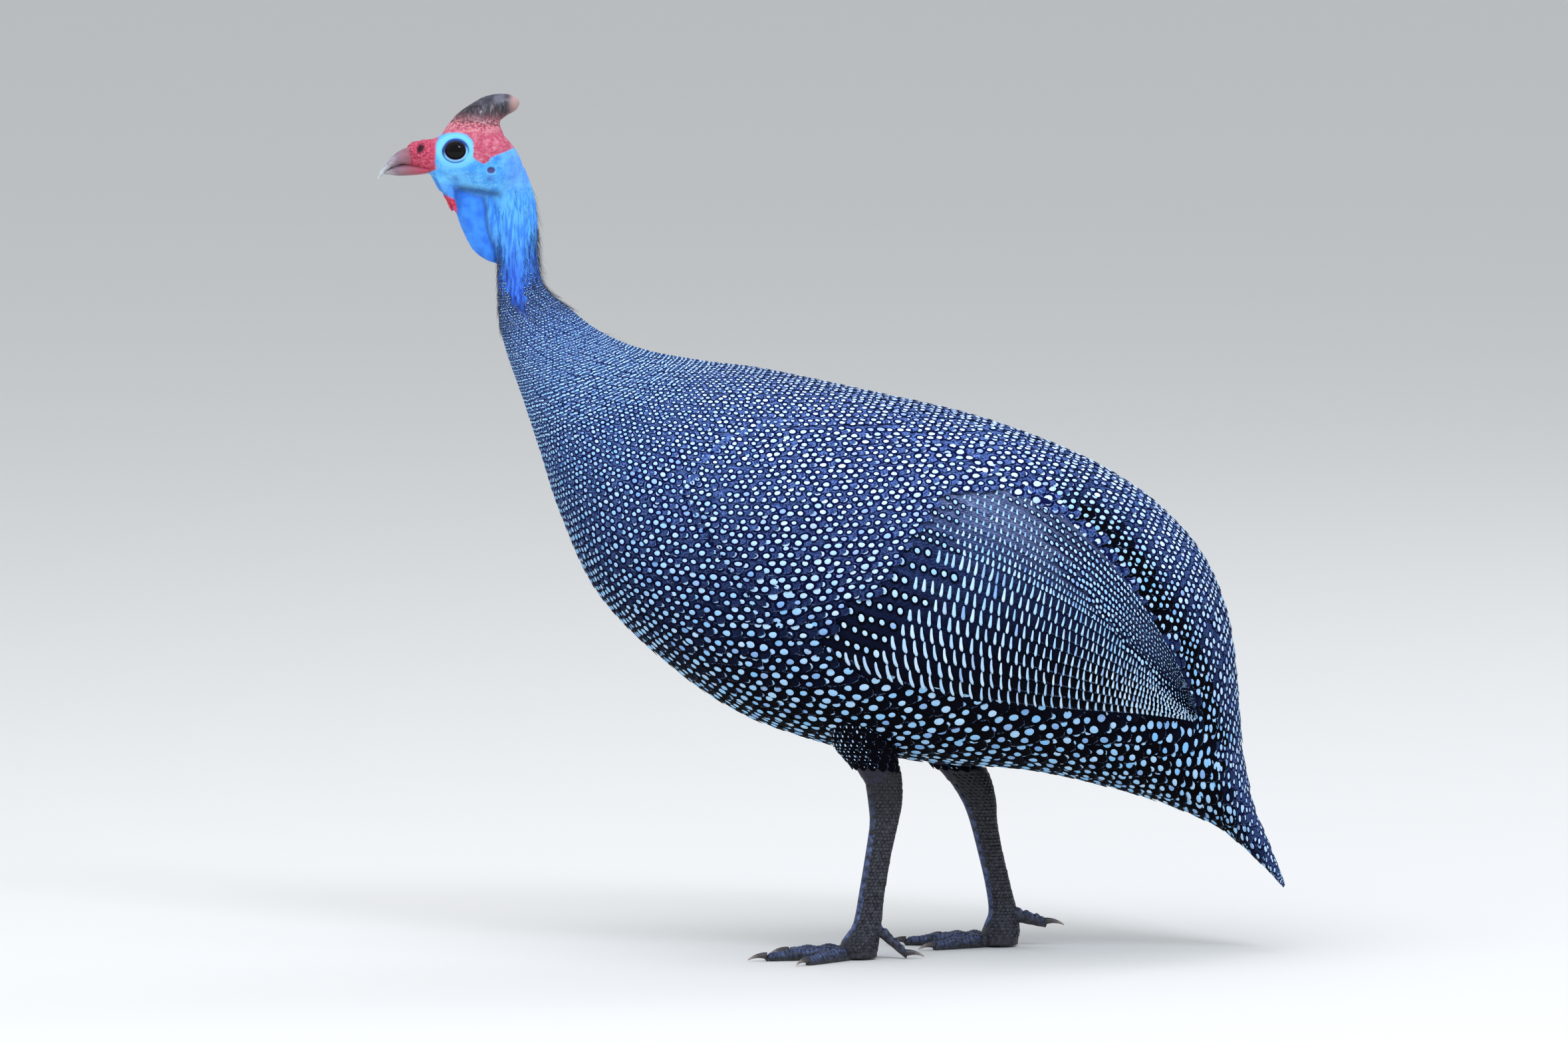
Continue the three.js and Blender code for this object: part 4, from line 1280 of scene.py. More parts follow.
def build_wing(bird, side, name, looks):
    """Long feathers of one wing, each an overlapping strip along it, with its bars and dots."""
    lie = bird.wing(side)
    vanes, marks, rings = Pieces(), Pieces(), Pieces()
    edges = np.concatenate([np.linspace(1, BARRED_TOP, BARRED + 1)[:-1],
                            np.linspace(BARRED_TOP, 0.02, DOTTED + 1)])
    for k in range(BARRED + DOTTED):
        add_strip(lie, side, k, edges[k], edges[k + 1], vanes, marks, rings)
    for pieces, title, look in ((vanes, "long_feathers", "plumage"), (marks, "bars_and_dots", "spot"),
                                (rings, "dot_surrounds", "surround")):
        faces_out(pieces.build(f"wing_{name}_{title}", looks[look], "plumage"))


def add_strip(lie, side, k, low, high, vanes, marks, rings):
    """One long feather, from its free lower edge to where the next one covers it."""
    middle = (low + high) / 2
    begin = float(strips_start(middle))
    start, stop = begin - 0.08, np.interp(k, [0, BARRED, BARRED + DOTTED], [0.985, 0.97, 0.93])
    # How flecked each long feather is, and how much painted sheen it carries: more on the upper ones
    fleck = np.interp(k, [3, BARRED, BARRED + 4], [0, 0.2, 0.6])
    warm = np.interp(k, [BARRED - 2, BARRED + 4], [0, 0.6])
    bars_from = np.interp(middle, [0.02, 0.4, 1], [0.46, 0.445, 0.325]) + random.uniform(-0.04, 0.025)
    bars_end = np.interp(middle, [0.02, 0.4, 0.6, 1], [0.50, 0.66, 0.9, 1]) + random.uniform(-0.03, 0.03)

    def laid(t, part, lift):
        """part is 0 at the strip's free edge and 1 where the next one covers it."""
        q = low - part * (low - high)
        # It comes out from under the coverts
        sunk = -1.6 * (1 - fade(t, begin, begin + 0.12)) - 1.4 * (1 - fade(t, begin - 0.06, begin))
        height = sunk * MM + lift
        q = 1 - q if side > 0 else q
        return lie.at(lie.points, t, q) + lie.at(lie.normal, t, q) * height[..., None]

    def lift_at(part):
        return (STRIP_LIFT - 0.7 * part) * MM

    def root_at(t):
        return unwrap(np.array([0.4 + 0.4 * t]), np.array([0.5 + side * (0.38 - 0.26 * middle)]))

    v = mix(start, stop, STRIP.at[:, 1])
    part = (STRIP.at[:, 0] + 1) * 1.2
    places = laid(v, part, lift_at(part) + STRIP.at[:, 2] * 0.15 * MM)[None]
    flecks_and_sheen = np.clip(0.5 * fleck_and_sheen_at(places) * fade(0.52 - v, -0.2, 0.2) + fleck, 0, 1)
    vanes.add(STRIP, places, np.stack([part * 0.7, v * 24], -1)[None], root_at(start), fleck=flecks_and_sheen,
              warm=np.array([warm]), tone=random.uniform(0, 1, 1), rim=fade(1 - part, 0.3, 1)[None])

    def mark(shape, t, x, y, along, tall, lift, pieces, blue):
        """Lays one mark, x along the feather and y up from its free edge in metres, lift in millimetres."""
        places = laid(t + x / along, y / tall, lift_at(y / tall) + lift * MM)
        pieces.add(shape, places[None], np.zeros((1, 1, 2)), root_at(t), tone=random.uniform(0, 1, 1),
                   blue=np.array([blue]), fleck=np.array([fleck]))

    t = start + random.uniform(0, 0.02)
    while t < stop - 0.012:
        q_side = 1 - middle if side > 0 else middle
        along = float(lie.at(lie.along, np.array(t), np.array(q_side)))
        tall = (low - high) * float(lie.at(lie.across, np.array(t), np.array(q_side)))
        blue = np.clip(np.interp(k, [0, 4, 8], [0.35, 0.4, 0.6]) + random.normal(0, 0.12), 0, 1)
        if bars_from < t < bars_end:
            later = float(fade(t, bars_from, bars_from + 0.25))
            slim = np.interp(k, [0, 8, 11], [1, 0.75, 0.55])
            grown = float(fade(t, bars_from, bars_from + 0.04))
            width = mix(*BAR_WIDTH, later) * random.uniform(0.85, 1.12) * MM * slim
            length = tall * random.uniform(0.84, 0.98) * mix(0.8, 1, grown)
            length *= np.interp(k, [8, 11], [1, 0.68])
            sweep = mix(1, 0.5, later) * np.interp(k, [0, 2, 4, 8], [0.38, 0.22, 0.06, -0.1]) * length
            sweep += random.normal(0, 0.00025)
            up = BAR.at[:, 1]
            mark(BAR, t, BAR.at[:, 0] * width - sweep * (1 - (1 - up) ** 2), 0.05 * tall + up * length,
                 along, tall, SPOT_LIFT * MARK_SCALE + MARK_THICKNESS * BAR.at[:, 2], marks, blue)
            near, far = [np.interp(k, [0, 8], ends) for ends in BAR_GAP]
            gap = mix(near, far, later) * random.uniform(0.95, 1.05)
        else:
            size, gap = BARRED_DOT if k < BARRED and t < bars_from else FLECKED_DOT
            size = min(size * MM, tall * 0.36) * random.uniform(0.85, 1.1)
            y = 0.46 * tall + random.normal(0, 0.0004 if k >= BARRED else 0.0003)
            stretch = random.uniform(0.95, 1.3)
            for shape, grow, lift, pieces in ((SPOT, 1, SPOT_LIFT, marks),
                                              (RING, HALO_SIZE, HALO_LIFT, rings)):
                x = shape.at[:, 0] * size * grow
                mark(shape, t, x, y + shape.at[:, 1] * size * grow * stretch, along, tall,
                     lift * MARK_SCALE + MARK_THICKNESS * shape.at[:, 2], pieces, blue)
        # Marks stand closer together where the feather is narrow
        t += gap * MM * min(1, max(0.55, tall / 0.0055)) * random.uniform(0.93, 1.07) / along


def faces_out(piece):
    """Turns every face of a piece outwards."""
    bm = bmesh.new()
    bm.from_mesh(piece.data)
    bmesh.ops.recalc_face_normals(bm, faces=bm.faces[:])
    bm.to_mesh(piece.data)
    bm.free()


# Skin

# Outlines in side view, before the head turns, of the red skin and of the throat fold
RED_OUTLINE = [
    (-183.8, 353.4), (-180.6, 355.6), (-181.2, 359.1), (-180.9, 363.0), (-180.4, 367.0), (-177.7, 370.2),
    (-174.4, 371.8), (-170.5, 372.1), (-166.7, 371.2), (-164.3, 368.6), (-164.2, 364.7), (-164.7, 361.4),
    (-162.4, 359.4), (-159.8, 358.1), (-157.9, 358.9), (-156.0, 361.2), (-150.5, 363.0), (-145.5, 364.4),
    (-134, 366), (-134, 396), (-200, 396), (-200, 346),
]
FOLD_OUTLINE = [
    (-173.5, 347.6), (-166, 345.2), (-158.5, 342.6), (-157.2, 337), (-157, 331), (-155.3, 325),
    (-152.8, 319), (-151.5, 311), (-160, 308), (-172, 322), (-178, 340),
]


def outline_distance(x, z, outline):
    """Distance in from a closed outline in side view, in millimetres; negative outside."""
    a = np.array(outline, float)
    b = np.roll(a, -1, 0)
    p = np.stack([x, z], -1)[:, None, :]
    ab = (b - a)[None]
    share = np.clip(((p - a) * ab).sum(-1) / (ab ** 2).sum(-1), 0, 1)
    near = np.linalg.norm(p - a - ab * share[..., None], axis=-1).min(1)
    crosses = ((a[None, :, 1] > p[..., 1]) != (b[None, :, 1] > p[..., 1]))
    climb = np.where(b[:, 1] == a[:, 1], 1e-9, b[:, 1] - a[:, 1])
    level = a[None, :, 0] + (p[..., 1] - a[None, :, 1]) / climb * ab[..., 0]
    inside = (crosses & (p[..., 0] < level)).sum(1) % 2 == 1
    return np.where(inside, near, -near)


# Size of the skin's faces in metres, on the bare head and neck and under the coat
BARE_GRAIN = 0.00046
COVERED_GRAIN = 0.0026
# The skin of neck and of trunk overlap along the body between these places
NECK_SKIN_END = 0.24
TRUNK_SKIN = (0.21, 0.985)


def coat_depth(t):
    """Distance from the skin to the coat's surface, in millimetres."""
    return mix(0.0, COAT_DEPTH, fade(t, BARE_NECK_END - 0.02, 0.42))


def build_skin(bird, looks):
    """One skin: bare on head and neck, and under the feathers everywhere else."""
    def body_part(start, end, steps):
        return closed_tube(lambda t, a: bird_inside(bird, mix(start, end, t), a / (2 * math.pi)), steps, 72)

    def head_part(rows, steps, sides, **more):
        return closed_tube(lambda t, a: head_turned(section_tube(rows, t, a, **more)), steps, sides)

    fine = [body_part(0, NECK_SKIN_END, 60), head_part(HEAD, 60, 72), head_part(THROAT_FOLD, 40, 40),
            casque_root()]
    for side in (-1, 1):
        fine.append(ball(NOSTRIL_LOBE_AT, NOSTRIL_LOBE_RADII, side))
        fine.append(head_part(WATTLE, 40, 28, splay=WATTLE_SPLAY, side=side))
    bare = cast(joined(*fine), BARE_GRAIN, 5)
    coarse = [body_part(*TRUNK_SKIN, 90)]
    for leg in LEGS.values():
        coarse.append(closed_tube(
            lambda t, a: placed(limb_tube(leg["thigh"], leg["side"], t, a, grow=-1.6)), 16, 32))
    covered = cast(joined(*coarse), COVERED_GRAIN, 3)
    sculpt_head(bare)
    mesh = mesh_of(joined(bare, covered), "skin")
    paint_skin(mesh)
    finished("skin", mesh, looks["skin"],
             ["trunk", "tail", "neck", "head", "wing_left", "wing_right", "thigh_left", "thigh_right",
              "wattle_left", "wattle_right"])


# Along the casque: where its skin ends and its horn begins, and where the one sinks and the other rises
CASQUE_SKIN_END = 0.32
CASQUE_HORN_START = 0.225
SKIN_SINKS = (0.245, 0.285)
HORN_RISES = (0.235, 0.27)
# Waves in the foot of the horn: how many round it, and their shift
RAGGED_WAVES = [(3, 0), (7, 1), (13, 2), (23, 0)]
RAGGED_BY = 0.008


def casque_root():
    """Living skin that the horn of the casque grows from, drawn in where the horn sits over it."""
    def sunk(share):
        return fade(share, *SKIN_SINKS)

    return closed_tube(lambda t, a: casque_place(t * CASQUE_SKIN_END, a, sunk), 20, 48)


def casque_place(t, angle, sunk):
    """Surface of the casque, drawn in by a share that depends on the height over its ragged foot."""
    points = section_tube(CASQUE, t, angle)
    middle = section_tube(CASQUE, t, angle + math.pi) / 2 + points / 2
    ragged = RAGGED_BY * sum(np.sin(number * angle + shift) for number, shift in RAGGED_WAVES)
    return head_turned(mix(points, middle, 0.15 * sunk(t + ragged)[..., None]))


def bird_inside(bird, t, q):
    """Places on the skin, inside the coat."""
    lie = bird.body
    depth = coat_depth(t) * MM
    return lie.at(lie.points, t, q) - lie.at(lie.normal, t, q) * depth[..., None]


def ball(at, radii, side):
    """A ball with three radii, turned with the head."""
    bm = bmesh.new()
    bmesh.ops.create_uvsphere(bm, u_segments=32, v_segments=20, radius=1)
    for v in bm.verts:
        x, y, z = v.co.x * radii[0], v.co.y * radii[1], v.co.z * radii[2]
        own = np.array([at[0] + x, side * at[1] + y, at[2] + z])
        v.co = Vector(head_turned(own))
    return bm


def eye_distance(own, side):
    """Distance outside the rim of an eye's opening, in millimetres; negative over the eyeball."""
    x, y, z = own[:, 0] - EYE_AT[0], own[:, 1] - side * EYE_AT[1], own[:, 2] - EYE_AT[2]
    turn = side * EYE_FORWARD
    level = x * math.cos(turn) + y * math.sin(turn)
    reach = np.hypot(level, z)
    share = np.hypot(level / EYE_OPENING[0], z / EYE_OPENING[1])
    return reach * (1 - 1 / np.maximum(share, 0.05))


def ridge(distance, at, width, height):
    """A rounded ridge along a line at a distance."""
    return height * np.exp(-((distance - at) / width) ** 2)


NOSTRIL_AT = (-187.2, 364.9)
NOSTRIL_SIZE = (3.2, 2.0)
NOSTRIL_LEAN = math.radians(60)
EAR_AT = (-156.3, 355.2)
EAR_SIZE = (2.1, 1.7)
# Darker places on the cheek round the ear: x, z, radius and strength
DARK_MARKS = [
    (-153.7, 360.3, 2.2, 0.5),
    (-156.7, 351.2, 1.8, 0.7),
    (-166, 353.5, 3.5, 0.3),
    (-172, 351.5, 1.6, 0.5),
]


def nostril_distance(x, z):
    """1 on the rim of the nostril's slot."""
    dx, dz = x - NOSTRIL_AT[0], z - NOSTRIL_AT[1]
    along = dx * math.cos(NOSTRIL_LEAN) + dz * math.sin(NOSTRIL_LEAN)
    over = -dx * math.sin(NOSTRIL_LEAN) + dz * math.cos(NOSTRIL_LEAN)
    return np.hypot(along / NOSTRIL_SIZE[0], over / NOSTRIL_SIZE[1])


def ear_distance(x, z):
    """1 on the rim of the ear opening."""
    return np.hypot((x - EAR_AT[0]) / EAR_SIZE[0], (z - EAR_AT[1]) / EAR_SIZE[1])


def sculpt_head(bm):
    """Lids, nostrils, ears, folds and wrinkles, pressed into the bare skin."""
    bm.normal_update()
    co = np.array([v.co for v in bm.verts], float)
    no = np.array([v.normal for v in bm.verts], float)
    own = head_unturned(co)
    x, y, z = own.T
    rise = np.zeros(len(co))
    for side in (-1, 1):
        outer = y * side > 3
        d = eye_distance(own, side)
        # Thin lids round the eyeball, a faint trough, and a fold over the upper lid
        lids = ridge(d, 0.45, 0.45, 0.55) - ridge(d, 1.5, 0.5, 0.22)
        lids += ridge(d, 2.3, 0.5, 0.2) * fade(z - EYE_AT[2], -1, 3)
        lids -= 1.7 * (1 - fade(d, -0.7, 0.1))
        rise += np.where(outer & (d < 6), lids, 0)
        near = ear_distance(x, z)
        ear = ridge(near, 1.2, 0.25, 0.35) - 1.1 * (1 - fade(near, 0.35, 0.95))
        rise += np.where(outer & (near < 3), ear, 0)
        slot = nostril_distance(x, z)
        nostril = ridge(slot, 1.3, 0.3, 0.35) - 1.8 * (1 - fade(slot, 0.25, 1.0))
        rise += np.where((y * side > 1) & (slot < 3), nostril, 0)
    crease = np.abs(outline_distance(x, z, FOLD_OUTLINE))
    rise -= np.where(np.abs(y) > 1, 0.5 * np.exp(-(crease / 0.8) ** 2), 0)
    # Fine slack wrinkles: level ones on the wattles, slanting ones on cheek and fold
    cheek = fade(z, 340, 346) * (1 - fade(z, 358, 362)) * fade(x, -182, -176) * (1 - fade(x, -160, -156))
    waves = np.sin((z * 0.9 + x * 0.35 + 1.2 * np.sin(x * 0.8)) * 4.2)
    rise += 0.06 * cheek * waves
    rise += 0.07 * (1 - fade(z, 338, 344)) * np.sin((x * 1.1 - z * 0.12 + 0.9 * np.sin(z * 0.55)) * 3.6)
    moved = co + no * (rise * MM)[:, None]
    for v, point in zip(bm.verts, moved):
        v.co = Vector(point)


def paint_skin(mesh):
    """Values that the skin's material reads, at every point."""
    co = np.zeros(len(mesh.vertices) * 3, np.float32)
    mesh.vertices.foreach_get("co", co)
    co = co.reshape(-1, 3).astype(float)
    own = head_unturned(co)
    x, y, z = own.T
    outer = np.abs(y) > 3
    wattle = fade(np.abs(y), 3.2, 3.9) * (1 - fade(x, -171.5, -169.9)) * (1 - fade(z, 352, 355))
    fold = outline_distance(x, z, FOLD_OUTLINE)
    crease = np.exp(-(fold / 1.1) ** 2) * (np.abs(y) > 1) * fade(345 - z, 0, 4)
    jaw_line = 345.4 - 0.17 * (x + 160)
    jaw = np.exp(-((z - jaw_line) / 1.7) ** 2) * fade(x, -174, -168) * (1 - fade(x, -154, -148))
    eye = np.min([np.where(y * side > 2, eye_distance(own, side), 50) for side in (-1, 1)], axis=0)
    marks = sum(s * np.exp(-((x - a) / r) ** 2 - ((z - b) / 1.3) ** 2) for a, b, r, s in DARK_MARKS)
    values = {
        "red": outline_distance(x, z, RED_OUTLINE),
        "cere": 1 - fade(x, -183, -177),
        "crown": fade(z, 367, 378),
        "fold": fade(fold, -0.6, 0.8),
        "shade": np.clip(0.6 * crease + 0.7 * jaw, 0, 1) * (1 - wattle * (z < 349)),
        "neck": 1 - fade(z, 338, 348),
        "nape": fade(x, -154, -145) * fade(z, 340, 352) * (1 - fade(z, 360, 367)),
        "eye": np.minimum(eye, 50),
        "under_eye": fade(np.abs((x - EYE_AT[0]) * 0.5 + (z - EYE_AT[2]) * 0.9), 0.5, 3),
        "over_eye": fade(z - EYE_AT[2] - 0.3 * (x - EYE_AT[0]), -2.2, 1.6),
        "mark": outer * marks,
        "tip": wattle * (1 - fade(z + 0.5 * (x + 174), 342.2, 343.4)),
        "wattle": wattle * (1 - fade(z, 348, 351)),
        "pit": np.where(outer | (x < -180), 1 - fade(nostril_distance(x, z), 0.3, 1.15), 0),
        "drum": np.where(outer, 1 - fade(ear_distance(x, z), 0.75, 1.0), 0),
        "covered": 1 - fade(co[:, 2] / MM + 0.35 * (co[:, 0] / MM + 140), 284, 296),
    }
    for key, value in values.items():
        give(mesh, key, value)


# Head parts that aren't skin

def build_head_parts(looks):
    def head_piece(name, rows, steps, sides, look):
        bm = closed_tube(lambda t, a: head_turned(section_tube(rows, t, a)), steps, sides)
        finished(name, mesh_of(bm, name), look, [name])

    head_piece("bill_upper", BILL_UPPER, 40, 40, looks["bill"])
    head_piece("bill_lower", BILL_LOWER, 30, 36, looks["bill"])
    build_casque(looks["casque"])
    for name, side in (("left", -1), ("right", 1)):
        build_eye(f"eye_{name}", side, looks["eye"])


def build_casque(look):
    """Horn of the casque: it comes out of the skin, with growth ridges up its sides, smooth at its tip."""
    def sunk(share):
        return 1 - fade(share, *HORN_RISES)

    bm = closed_tube(lambda t, a: casque_place(mix(CASQUE_HORN_START, 1, t), a, sunk), 90, 72)
    bm.normal_update()
    for v in bm.verts:
        height = v.co.z / MM
        rough = 1 - min(1, max(0, (height - 376) / 10))
        ridges = noise.noise(Vector((v.co.x * 900, v.co.y * 900, v.co.z * 160)))
        v.co += v.normal * ((0.2 * rough + 0.05) * ridges + 0.15 * noise.noise(v.co * 250)) * MM
    finished("casque", mesh_of(bm, "casque"), look, ["casque"])


def build_eye(name, side, look):
    bm = bmesh.new()
    bmesh.ops.create_uvsphere(bm, u_segments=48, v_segments=32, radius=1)
    turn = side * EYE_FORWARD
    distance = bm.verts.layers.float.new("from_axis")
    for v in bm.verts:
        x, y, z = v.co.x * EYE_RADII[0], v.co.y * EYE_RADII[1], v.co.z * EYE_RADII[2]
        v[distance] = math.hypot(x, z) if y * side > 0 else 9
        own = np.array([EYE_AT[0] + x * math.cos(turn) - y * math.sin(turn),
                        side * EYE_AT[1] + x * math.sin(turn) + y * math.cos(turn), EYE_AT[2] + z])
        v.co = Vector(head_turned(own))
    finished(name, mesh_of(bm, name), look, [name])


# Legs

# In millimetres: how far the shank's core is drawn in, distance between scales, and sizes of plates
SHANK_INSET = 0.25
SCALE_PITCH = 1.85
PLATE_WIDE = 2.1
PLATE_LONG = 5.2
TOE_PLATE_LONG = 2.1
# Where along the shank scales and plates run, and how far from its front the scales begin
SCALED = (0.06, 0.93)
PLATED = (0.13, 0.86)
SCALES_FROM = 0.13


def build_legs(looks):
    """Shanks, thigh feathers and feet of both legs."""
    for name, leg in LEGS.items():
        build_shank(name, leg, looks)
        build_thigh_feathers(name, leg, looks)
        build_foot(name, leg, looks)


def plate_shape():
    """A wide plate: x across from -1 to 1, y along from -1 to 1."""
    bm = bmesh.new()
    bmesh.ops.create_grid(bm, x_segments=4, y_segments=2, size=1)
    for v in bm.verts:
        v.co.z = 0.0
        if abs(v.co.x) > 0.99 or abs(v.co.y) > 0.99:
            v.co.z = -0.45
    return solid_sheet(bm)


SCALE = button_shape(6, rim=0.72)
PLATE = plate_shape()


def limb_lie(rows, side, steps, grow=0.0):
    """Surface of a limb, with its normals outward."""
    t = np.linspace(0, 1, steps)[:, None]
    angle = np.linspace(0, 2 * math.pi, 64, endpoint=False)[None]
    line = smooth_line([(r[0][0], side * r[0][1], r[0][2]) for r in rows], t[:, 0])
    return outward(Lie(placed(limb_tube(rows, side, t, angle, grow=grow))), placed(line))


def build_shank(name, leg, looks):
    """Shank with two rows of plates in front and small six-sided scales elsewhere."""
    rows, side, title = leg["shank"], leg["side"], f"shank_{name}"
    core = closed_tube(lambda t, a: placed(limb_tube(rows, side, t, a, grow=-SHANK_INSET)), 60, 32)
    mesh = mesh_of(core, title)
    give(mesh, "tone", 1.0)
    finished(title, mesh, looks["leg"], [title])
    lie = limb_lie(rows, side, 120, grow=-SHANK_INSET)
    pieces = Pieces()
    lay_scales(lie, pieces)
    for lane in (-1, 1):
        lay_shank_plates(lie, lane, pieces)
    faces_out(pieces.build(f"{title}_scales", looks["leg"], "leg_scale"))


def lay_scales(lie, pieces):
    """Rows of small scales round the sides and the back of the shank."""
    pitch = SCALE_PITCH * MM
    count = int(float(lie.across.mean()) / pitch)
    t0, end = SCALED
    row = 0
    while t0 < end:
        q = (np.arange(count) + 0.5 * (row % 2)) / count
        q = q[way_round(q) > SCALES_FROM]
        n = len(q)
        size = np.full(n, pitch * 0.60) * random.uniform(0.82, 1.12, n)
        u = SCALE.at[None, :, 0] * size[:, None]
        v = SCALE.at[None, :, 1] * size[:, None]
        lift = (0.3 + SCALE.at[None, :, 2] * 0.45) * MM + random.normal(0, 0.06, n)[:, None] * MM
        places = lie.lay(np.full((n, 1), t0), q[:, None], u, v, lift)
        pieces.add(SCALE, places, np.stack([u, v], -1) * 100, unwrap(np.full(n, t0), q),
                   tone=random.uniform(0, 0.8, n), plate=np.zeros(n))
        t0 += pitch * 0.87 / lie.pace(t0)
        row += 1


def lay_shank_plates(lie, lane, pieces):
    """One of the two rows of plates down the front of the shank."""
    wide, step = PLATE_WIDE * MM, PLATE_LONG * MM
    t0, end = PLATED
    t0 += 0.02 if lane > 0 else 0
    while t0 < end:
        q0 = lane * wide / float(lie.at(lie.across, np.array(t0), np.array(0.0)))
        u = PLATE.at[None, :, 0] * wide * 0.98
        v = PLATE.at[None, :, 1] * step * 0.48
        lift = (0.4 + PLATE.at[None, :, 2] * 0.5) * MM
        places = lie.lay(np.array([[t0]]), np.array([[q0]]), u, v, lift)
        pieces.add(PLATE, places, np.stack([u, v], -1) * 100, unwrap(np.array([t0]), np.array([q0])),
                   tone=random.uniform(0, 0.6, 1), plate=np.ones(1))
        t0 += step / lie.pace(t0)


def outward(lie, line):
    """The same surface with its normals turned away from its middle line."""
    away = ((lie.points - line[:, None, :]) * lie.normal).sum(2).mean()
    if away < 0:
        lie.normal *= -1
    return lie


# Feathers round a thigh, and the most rows of them down to the hock
THIGH_FEATHERS = 15
THIGH_ROWS = 60


def build_thigh_feathers(name, leg, looks):
    """Short spotted feathers down the thigh and over the upper shank."""
    side = leg["side"]
    lie = limb_lie(leg["thigh"], side, 80)
    vanes, spots = Pieces(), Pieces()
    count = THIGH_FEATHERS
    t0 = 0.02
    for row in range(THIGH_ROWS):
        ring = int(t0 * (len(lie.points) - 1))
        spot = float(lie.across[ring].mean()) / count / 2
        q = (np.arange(count) + 0.5 * (row % 2)) / count
        length, half = VANE_LENGTH * spot, VANE_WIDTH * spot
        if lie.points[ring, :, 2].mean() - 0.8 * length < leg["feathers_end"] * MM:
            break
        tt, qq = np.full((count, 1), t0), q[:, None]
        root = unwrap(np.full(count, 0.55), np.full(count, 0.3 if side < 0 else 0.7))

        def lay(pieces, picked, shape, u, v, lift, **values):
            height = vane_height(u, v, length, half) + lift * spot
            pieces.add(shape, lie.lay(tt[picked], qq[picked], u, v, height), np.stack([u, v], -1) * 100,
                       root[picked], **values)

        every = np.ones(count, bool)
        ones = np.ones((count, 1))
        lay(vanes, every, VANE, VANE.at[None, :, 0] * half * ones, VANE.at[None, :, 1] * length * ones,
            VANE.at[None, :, 2] * VANE_THICKNESS, tone=random.uniform(0, 1, count), rim=VANE.rim)
        # Only the front of the thigh is spotted, and less and less towards the hock
        height = lie.at(lie.points, np.full(count, t0), q)[:, 2] / MM
        shown = fade(height, *leg["spots_end"]) * (1 - fade(way_round(q), 0.2, 0.36))
        for lane, back in ((-0.5, 0), (0.5, 0), (0, 1), (1, 1)):
            picked = shown > random.uniform(0.1, 0.9, count)
            size = SPOT_SIZE * spot * random.uniform(0.4, 0.75, count) * mix(0.5, 1, shown)
            size = size[picked, None]
            lay(spots, picked, SPOT, lane * spot + SPOT.at[None, :, 0] * size * 0.75,
                length - (1.05 + back * ROW_STEP) * spot + SPOT.at[None, :, 1] * size * 1.4,
                SPOT_LIFT + SPOT.at[None, :, 2] * SPOT_THICKNESS,
                tone=random.uniform(0.3, 1, picked.sum()), blue=np.full(picked.sum(), 0.4))
        t0 += 2 * ROW_STEP * spot / lie.pace(t0)
    faces_out(vanes.build(f"thigh_{name}_feathers", looks["plumage"], "plumage"))
    faces_out(spots.build(f"thigh_{name}_spots", looks["spot"], "plumage"))


def toe_points(length, wide, high, droop, t, angle):
    """A toe along -X with its pads, flat on the floor unless it droops."""
    swell = 1 + TOE_PAD_SWELL * np.cos(2 * math.pi * TOE_PADS * t)
    tip = np.sqrt(np.maximum(0.2, 1 - np.maximum(0, (t - 0.86) / 0.14) ** 2))
    height = mix(high[0], high[1], t) * swell * tip
    width = mix(wide[0], wide[1], t) * swell * tip
    z = height * 0.42 + height * 0.58 * np.cos(angle)
    z = z - length * t * droop if droop else np.maximum(0, z)
    return np.stack([-length * t + 0 * z, width / 2 * np.sin(angle), z], -1)


def turned_toe(points, side, turn, at):
    """Turns a toe or claw outwards and brings it to its root."""
    a = -side * math.radians(turn)
    x, y = points[..., 0].copy(), points[..., 1].copy()
    made = points.copy()
    made[..., 0] = x * math.cos(a) - y * math.sin(a) + at[0]
    made[..., 1] = x * math.sin(a) + y * math.cos(a) + side * at[1]
    made[..., 2] += at[2]
    return placed(made)


def claw_points(t, angle):
    """A claw that curls down from its root."""
    bend = CLAW_LENGTH / CLAW_CURL
    radius = CLAW_RADIUS * (1 - 0.86 * t)
    curve = CLAW_CURL * t
    x = -bend * np.sin(curve) - radius * np.cos(angle) * np.sin(curve)
    z = -bend * (1 - np.cos(curve)) + radius * np.cos(angle) * np.cos(curve)
    y = radius * 0.8 * np.sin(angle)
    c, s = math.cos(CLAW_RISE), math.sin(CLAW_RISE)
    return np.stack([x * c + z * s, y, -x * s + z * c], -1)


